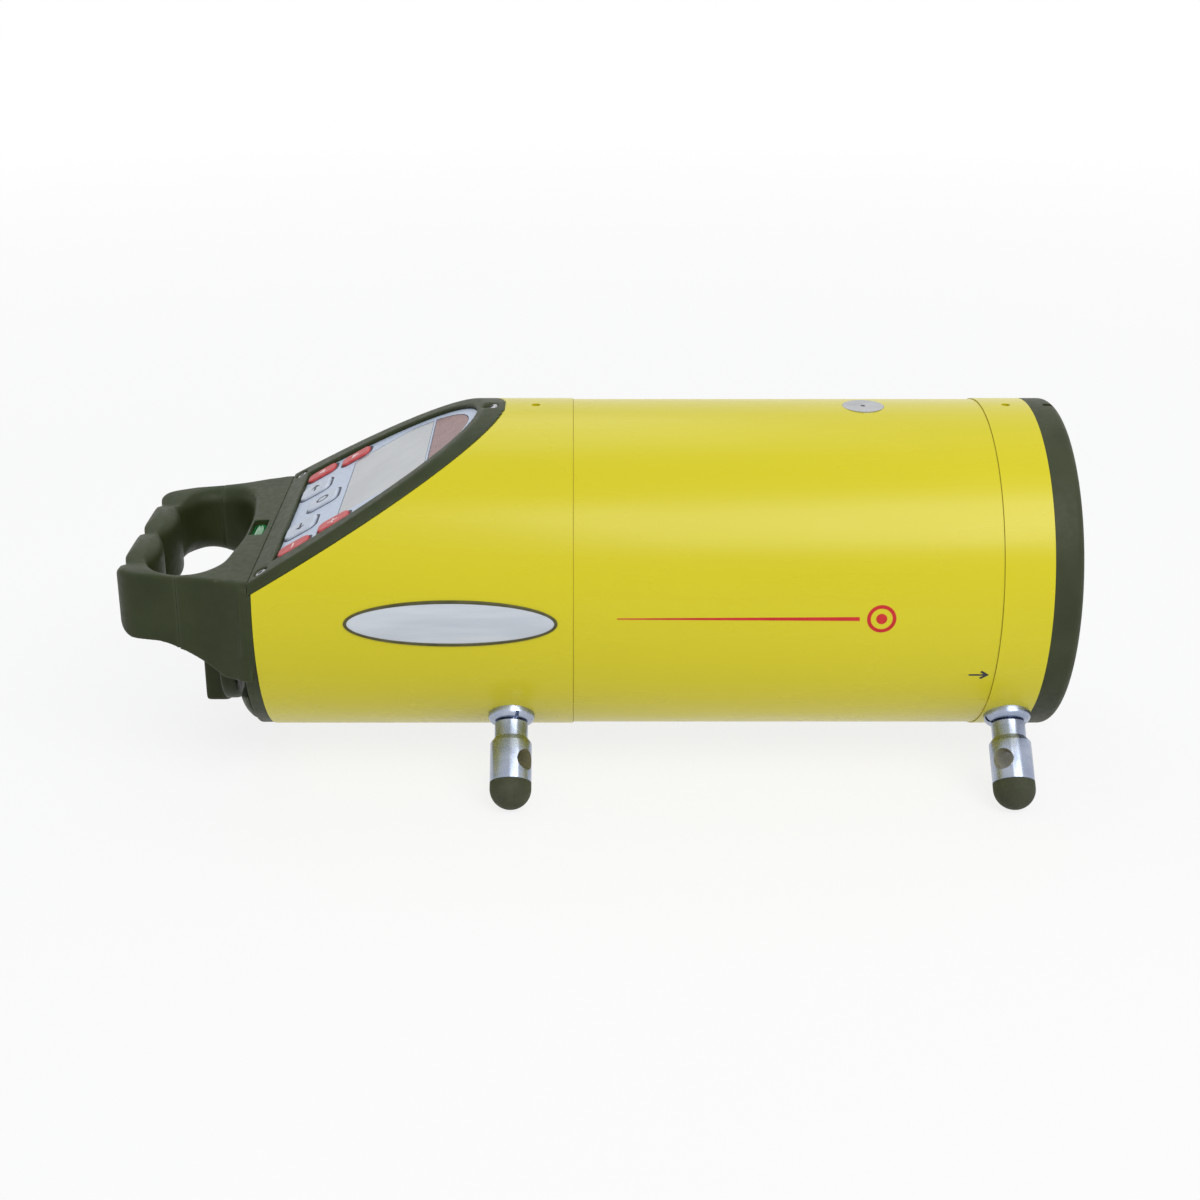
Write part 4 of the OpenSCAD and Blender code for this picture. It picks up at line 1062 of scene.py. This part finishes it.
def stripe(x0, x1, s, w0, w1):
    return [(x0, s - w0 / 2), (x1, s - w1 / 2), (x1, s + w1 / 2), (x0, s + w0 / 2)]


def moved(outlines, x, s):
    return [[(x + a, s + b) for a, b in outline] for outline in outlines]


TARGET_X = 84
TARGET_S = 1.6
red_marks = [stripe(12, 78, TARGET_S, 0.3, 1.1)]
red_marks += moved(ring_sign(3, 4), TARGET_X, TARGET_S)
red_marks += moved([circle(1.5, 32)], TARGET_X, TARGET_S)
add_wrapped("red_stripe", red_marks, TUBE_R, ink_red)
ARROW_X = 115.3
ARROW_S = -16.9
ARROW_W = 0.55
arrow_head = [(0, 0), (-2.1, 1.6), (-2.6, 1.1), (-1.1, 0), (-2.6, -1.1), (-2.1, -1.6)]
arrow_shaft = stripe(ARROW_X - 5.6, ARROW_X - 1.3, ARROW_S, ARROW_W, ARROW_W)
add_wrapped("direction_arrow", [arrow_shaft] + moved([arrow_head], ARROW_X, ARROW_S), TUBE_R, ink_dark)


# Stage: floor, light and camera


def seen_directly(tree):
    """1 for rays that show the stage itself, 0 for rays that gather its light."""
    path = tree.nodes.new("ShaderNodeLightPath")
    total = path.outputs["Is Camera Ray"]
    for other in ("Is Glossy Ray", "Is Transmission Ray"):
        larger = tree.nodes.new("ShaderNodeMath")
        larger.operation = "MAXIMUM"
        tree.links.new(total, larger.inputs[0])
        tree.links.new(path.outputs[other], larger.inputs[1])
        total = larger.outputs["Value"]
    return total


def make_world():
    world = bpy.data.worlds.new("studio")
    bpy.context.scene.world = world
    world.use_nodes = True
    tree = world.node_tree
    tree.nodes.clear()
    output = tree.nodes.new("ShaderNodeOutputWorld")
    light = tree.nodes.new("ShaderNodeBackground")
    light.inputs["Color"].default_value = (0.95, 0.98, 1, 1)
    light.inputs["Strength"].default_value = 0.46
    white = tree.nodes.new("ShaderNodeBackground")
    white.inputs["Color"].default_value = (1, 1, 1, 1)
    white.inputs["Strength"].default_value = 1
    mix = tree.nodes.new("ShaderNodeMixShader")
    tree.links.new(seen_directly(tree), mix.inputs["Fac"])
    tree.links.new(light.outputs["Background"], mix.inputs[1])
    tree.links.new(white.outputs["Background"], mix.inputs[2])
    tree.links.new(mix.outputs["Shader"], output.inputs["Surface"])


# Places and lengths of the stage are in metres
LIT_PLACE = (0, 0, 0.05)
FLOOR_HALF = 15
FLOOR_GLOW = 0.83
SHADOW_REACH = 0.35
WHITE_FROM = 1.2


def make_floor():
    mesh = bpy.data.meshes.new("floor")
    corners = [(-FLOOR_HALF, -FLOOR_HALF, 0), (FLOOR_HALF, -FLOOR_HALF, 0),
               (FLOOR_HALF, FLOOR_HALF, 0), (-FLOOR_HALF, FLOOR_HALF, 0)]
    mesh.from_pydata(corners, [], [(0, 1, 2, 3)])
    floor = bpy.data.objects.new("floor", mesh)
    bpy.context.scene.collection.objects.link(floor)
    material = bpy.data.materials.new("floor")
    material.use_nodes = True
    tree = material.node_tree
    tree.nodes.clear()
    output = tree.nodes.new("ShaderNodeOutputMaterial")
    matt = tree.nodes.new("ShaderNodeBsdfDiffuse")
    matt.inputs["Color"].default_value = (0.85, 0.85, 0.85, 1)
    glow = tree.nodes.new("ShaderNodeEmission")
    glow.inputs["Strength"].default_value = 1
    coordinates = tree.nodes.new("ShaderNodeTexCoord")
    distance = tree.nodes.new("ShaderNodeVectorMath")
    distance.operation = "LENGTH"
    tree.links.new(coordinates.outputs["Object"], distance.inputs[0])
    whiter = tree.nodes.new("ShaderNodeMapRange")
    whiter.inputs["From Min"].default_value = SHADOW_REACH
    whiter.inputs["From Max"].default_value = WHITE_FROM
    whiter.inputs["To Min"].default_value = FLOOR_GLOW
    whiter.inputs["To Max"].default_value = 1
    tree.links.new(distance.outputs["Value"], whiter.inputs["Value"])
    share = tree.nodes.new("ShaderNodeMath")
    share.operation = "MULTIPLY"
    tree.links.new(seen_directly(tree), share.inputs[0])
    tree.links.new(whiter.outputs["Result"], share.inputs[1])
    mix = tree.nodes.new("ShaderNodeMixShader")
    tree.links.new(share.outputs["Value"], mix.inputs["Fac"])
    tree.links.new(matt.outputs["BSDF"], mix.inputs[1])
    tree.links.new(glow.outputs["Emission"], mix.inputs[2])
    tree.links.new(mix.outputs["Shader"], output.inputs["Surface"])
    mesh.materials.append(material)


def add_area(name, place, target, width, height, power, colour):
    data = bpy.data.lights.new(name, "AREA")
    data.shape = "RECTANGLE"
    data.size = width
    data.size_y = height
    data.energy = power
    data.color = colour
    lamp = bpy.data.objects.new(name, data)
    bpy.context.scene.collection.objects.link(lamp)
    lamp.location = place
    lamp.rotation_euler = (Vector(target) - Vector(place)).to_track_quat("-Z", "Y").to_euler()


def make_camera():
    data = bpy.data.cameras.new("camera")
    data.lens = CAMERA_LENS
    data.sensor_width = 36
    data.shift_x, data.shift_y = CAMERA_SHIFT
    data.clip_start = 0.01
    data.clip_end = 100
    camera = bpy.data.objects.new("camera", data)
    bpy.context.scene.collection.objects.link(camera)
    back = CAMERA_DISTANCE * math.cos(CAMERA_RISE)
    camera.location = at(0, -back, CAMERA_DISTANCE * math.sin(CAMERA_RISE))
    camera.rotation_euler = (math.pi / 2 - CAMERA_RISE, 0, 0)
    bpy.context.scene.camera = camera


make_world()
make_floor()
make_camera()
add_area("key_light", (0.5, -0.9, 1.1), LIT_PLACE, 1.2, 0.8, 12, (1, 1, 1))
add_area("back_light", (-0.2, 0.6, 1.2), LIT_PLACE, 0.9, 0.9, 3, (0.84, 0.92, 1))
bpy.context.scene.view_settings.view_transform = "Standard"
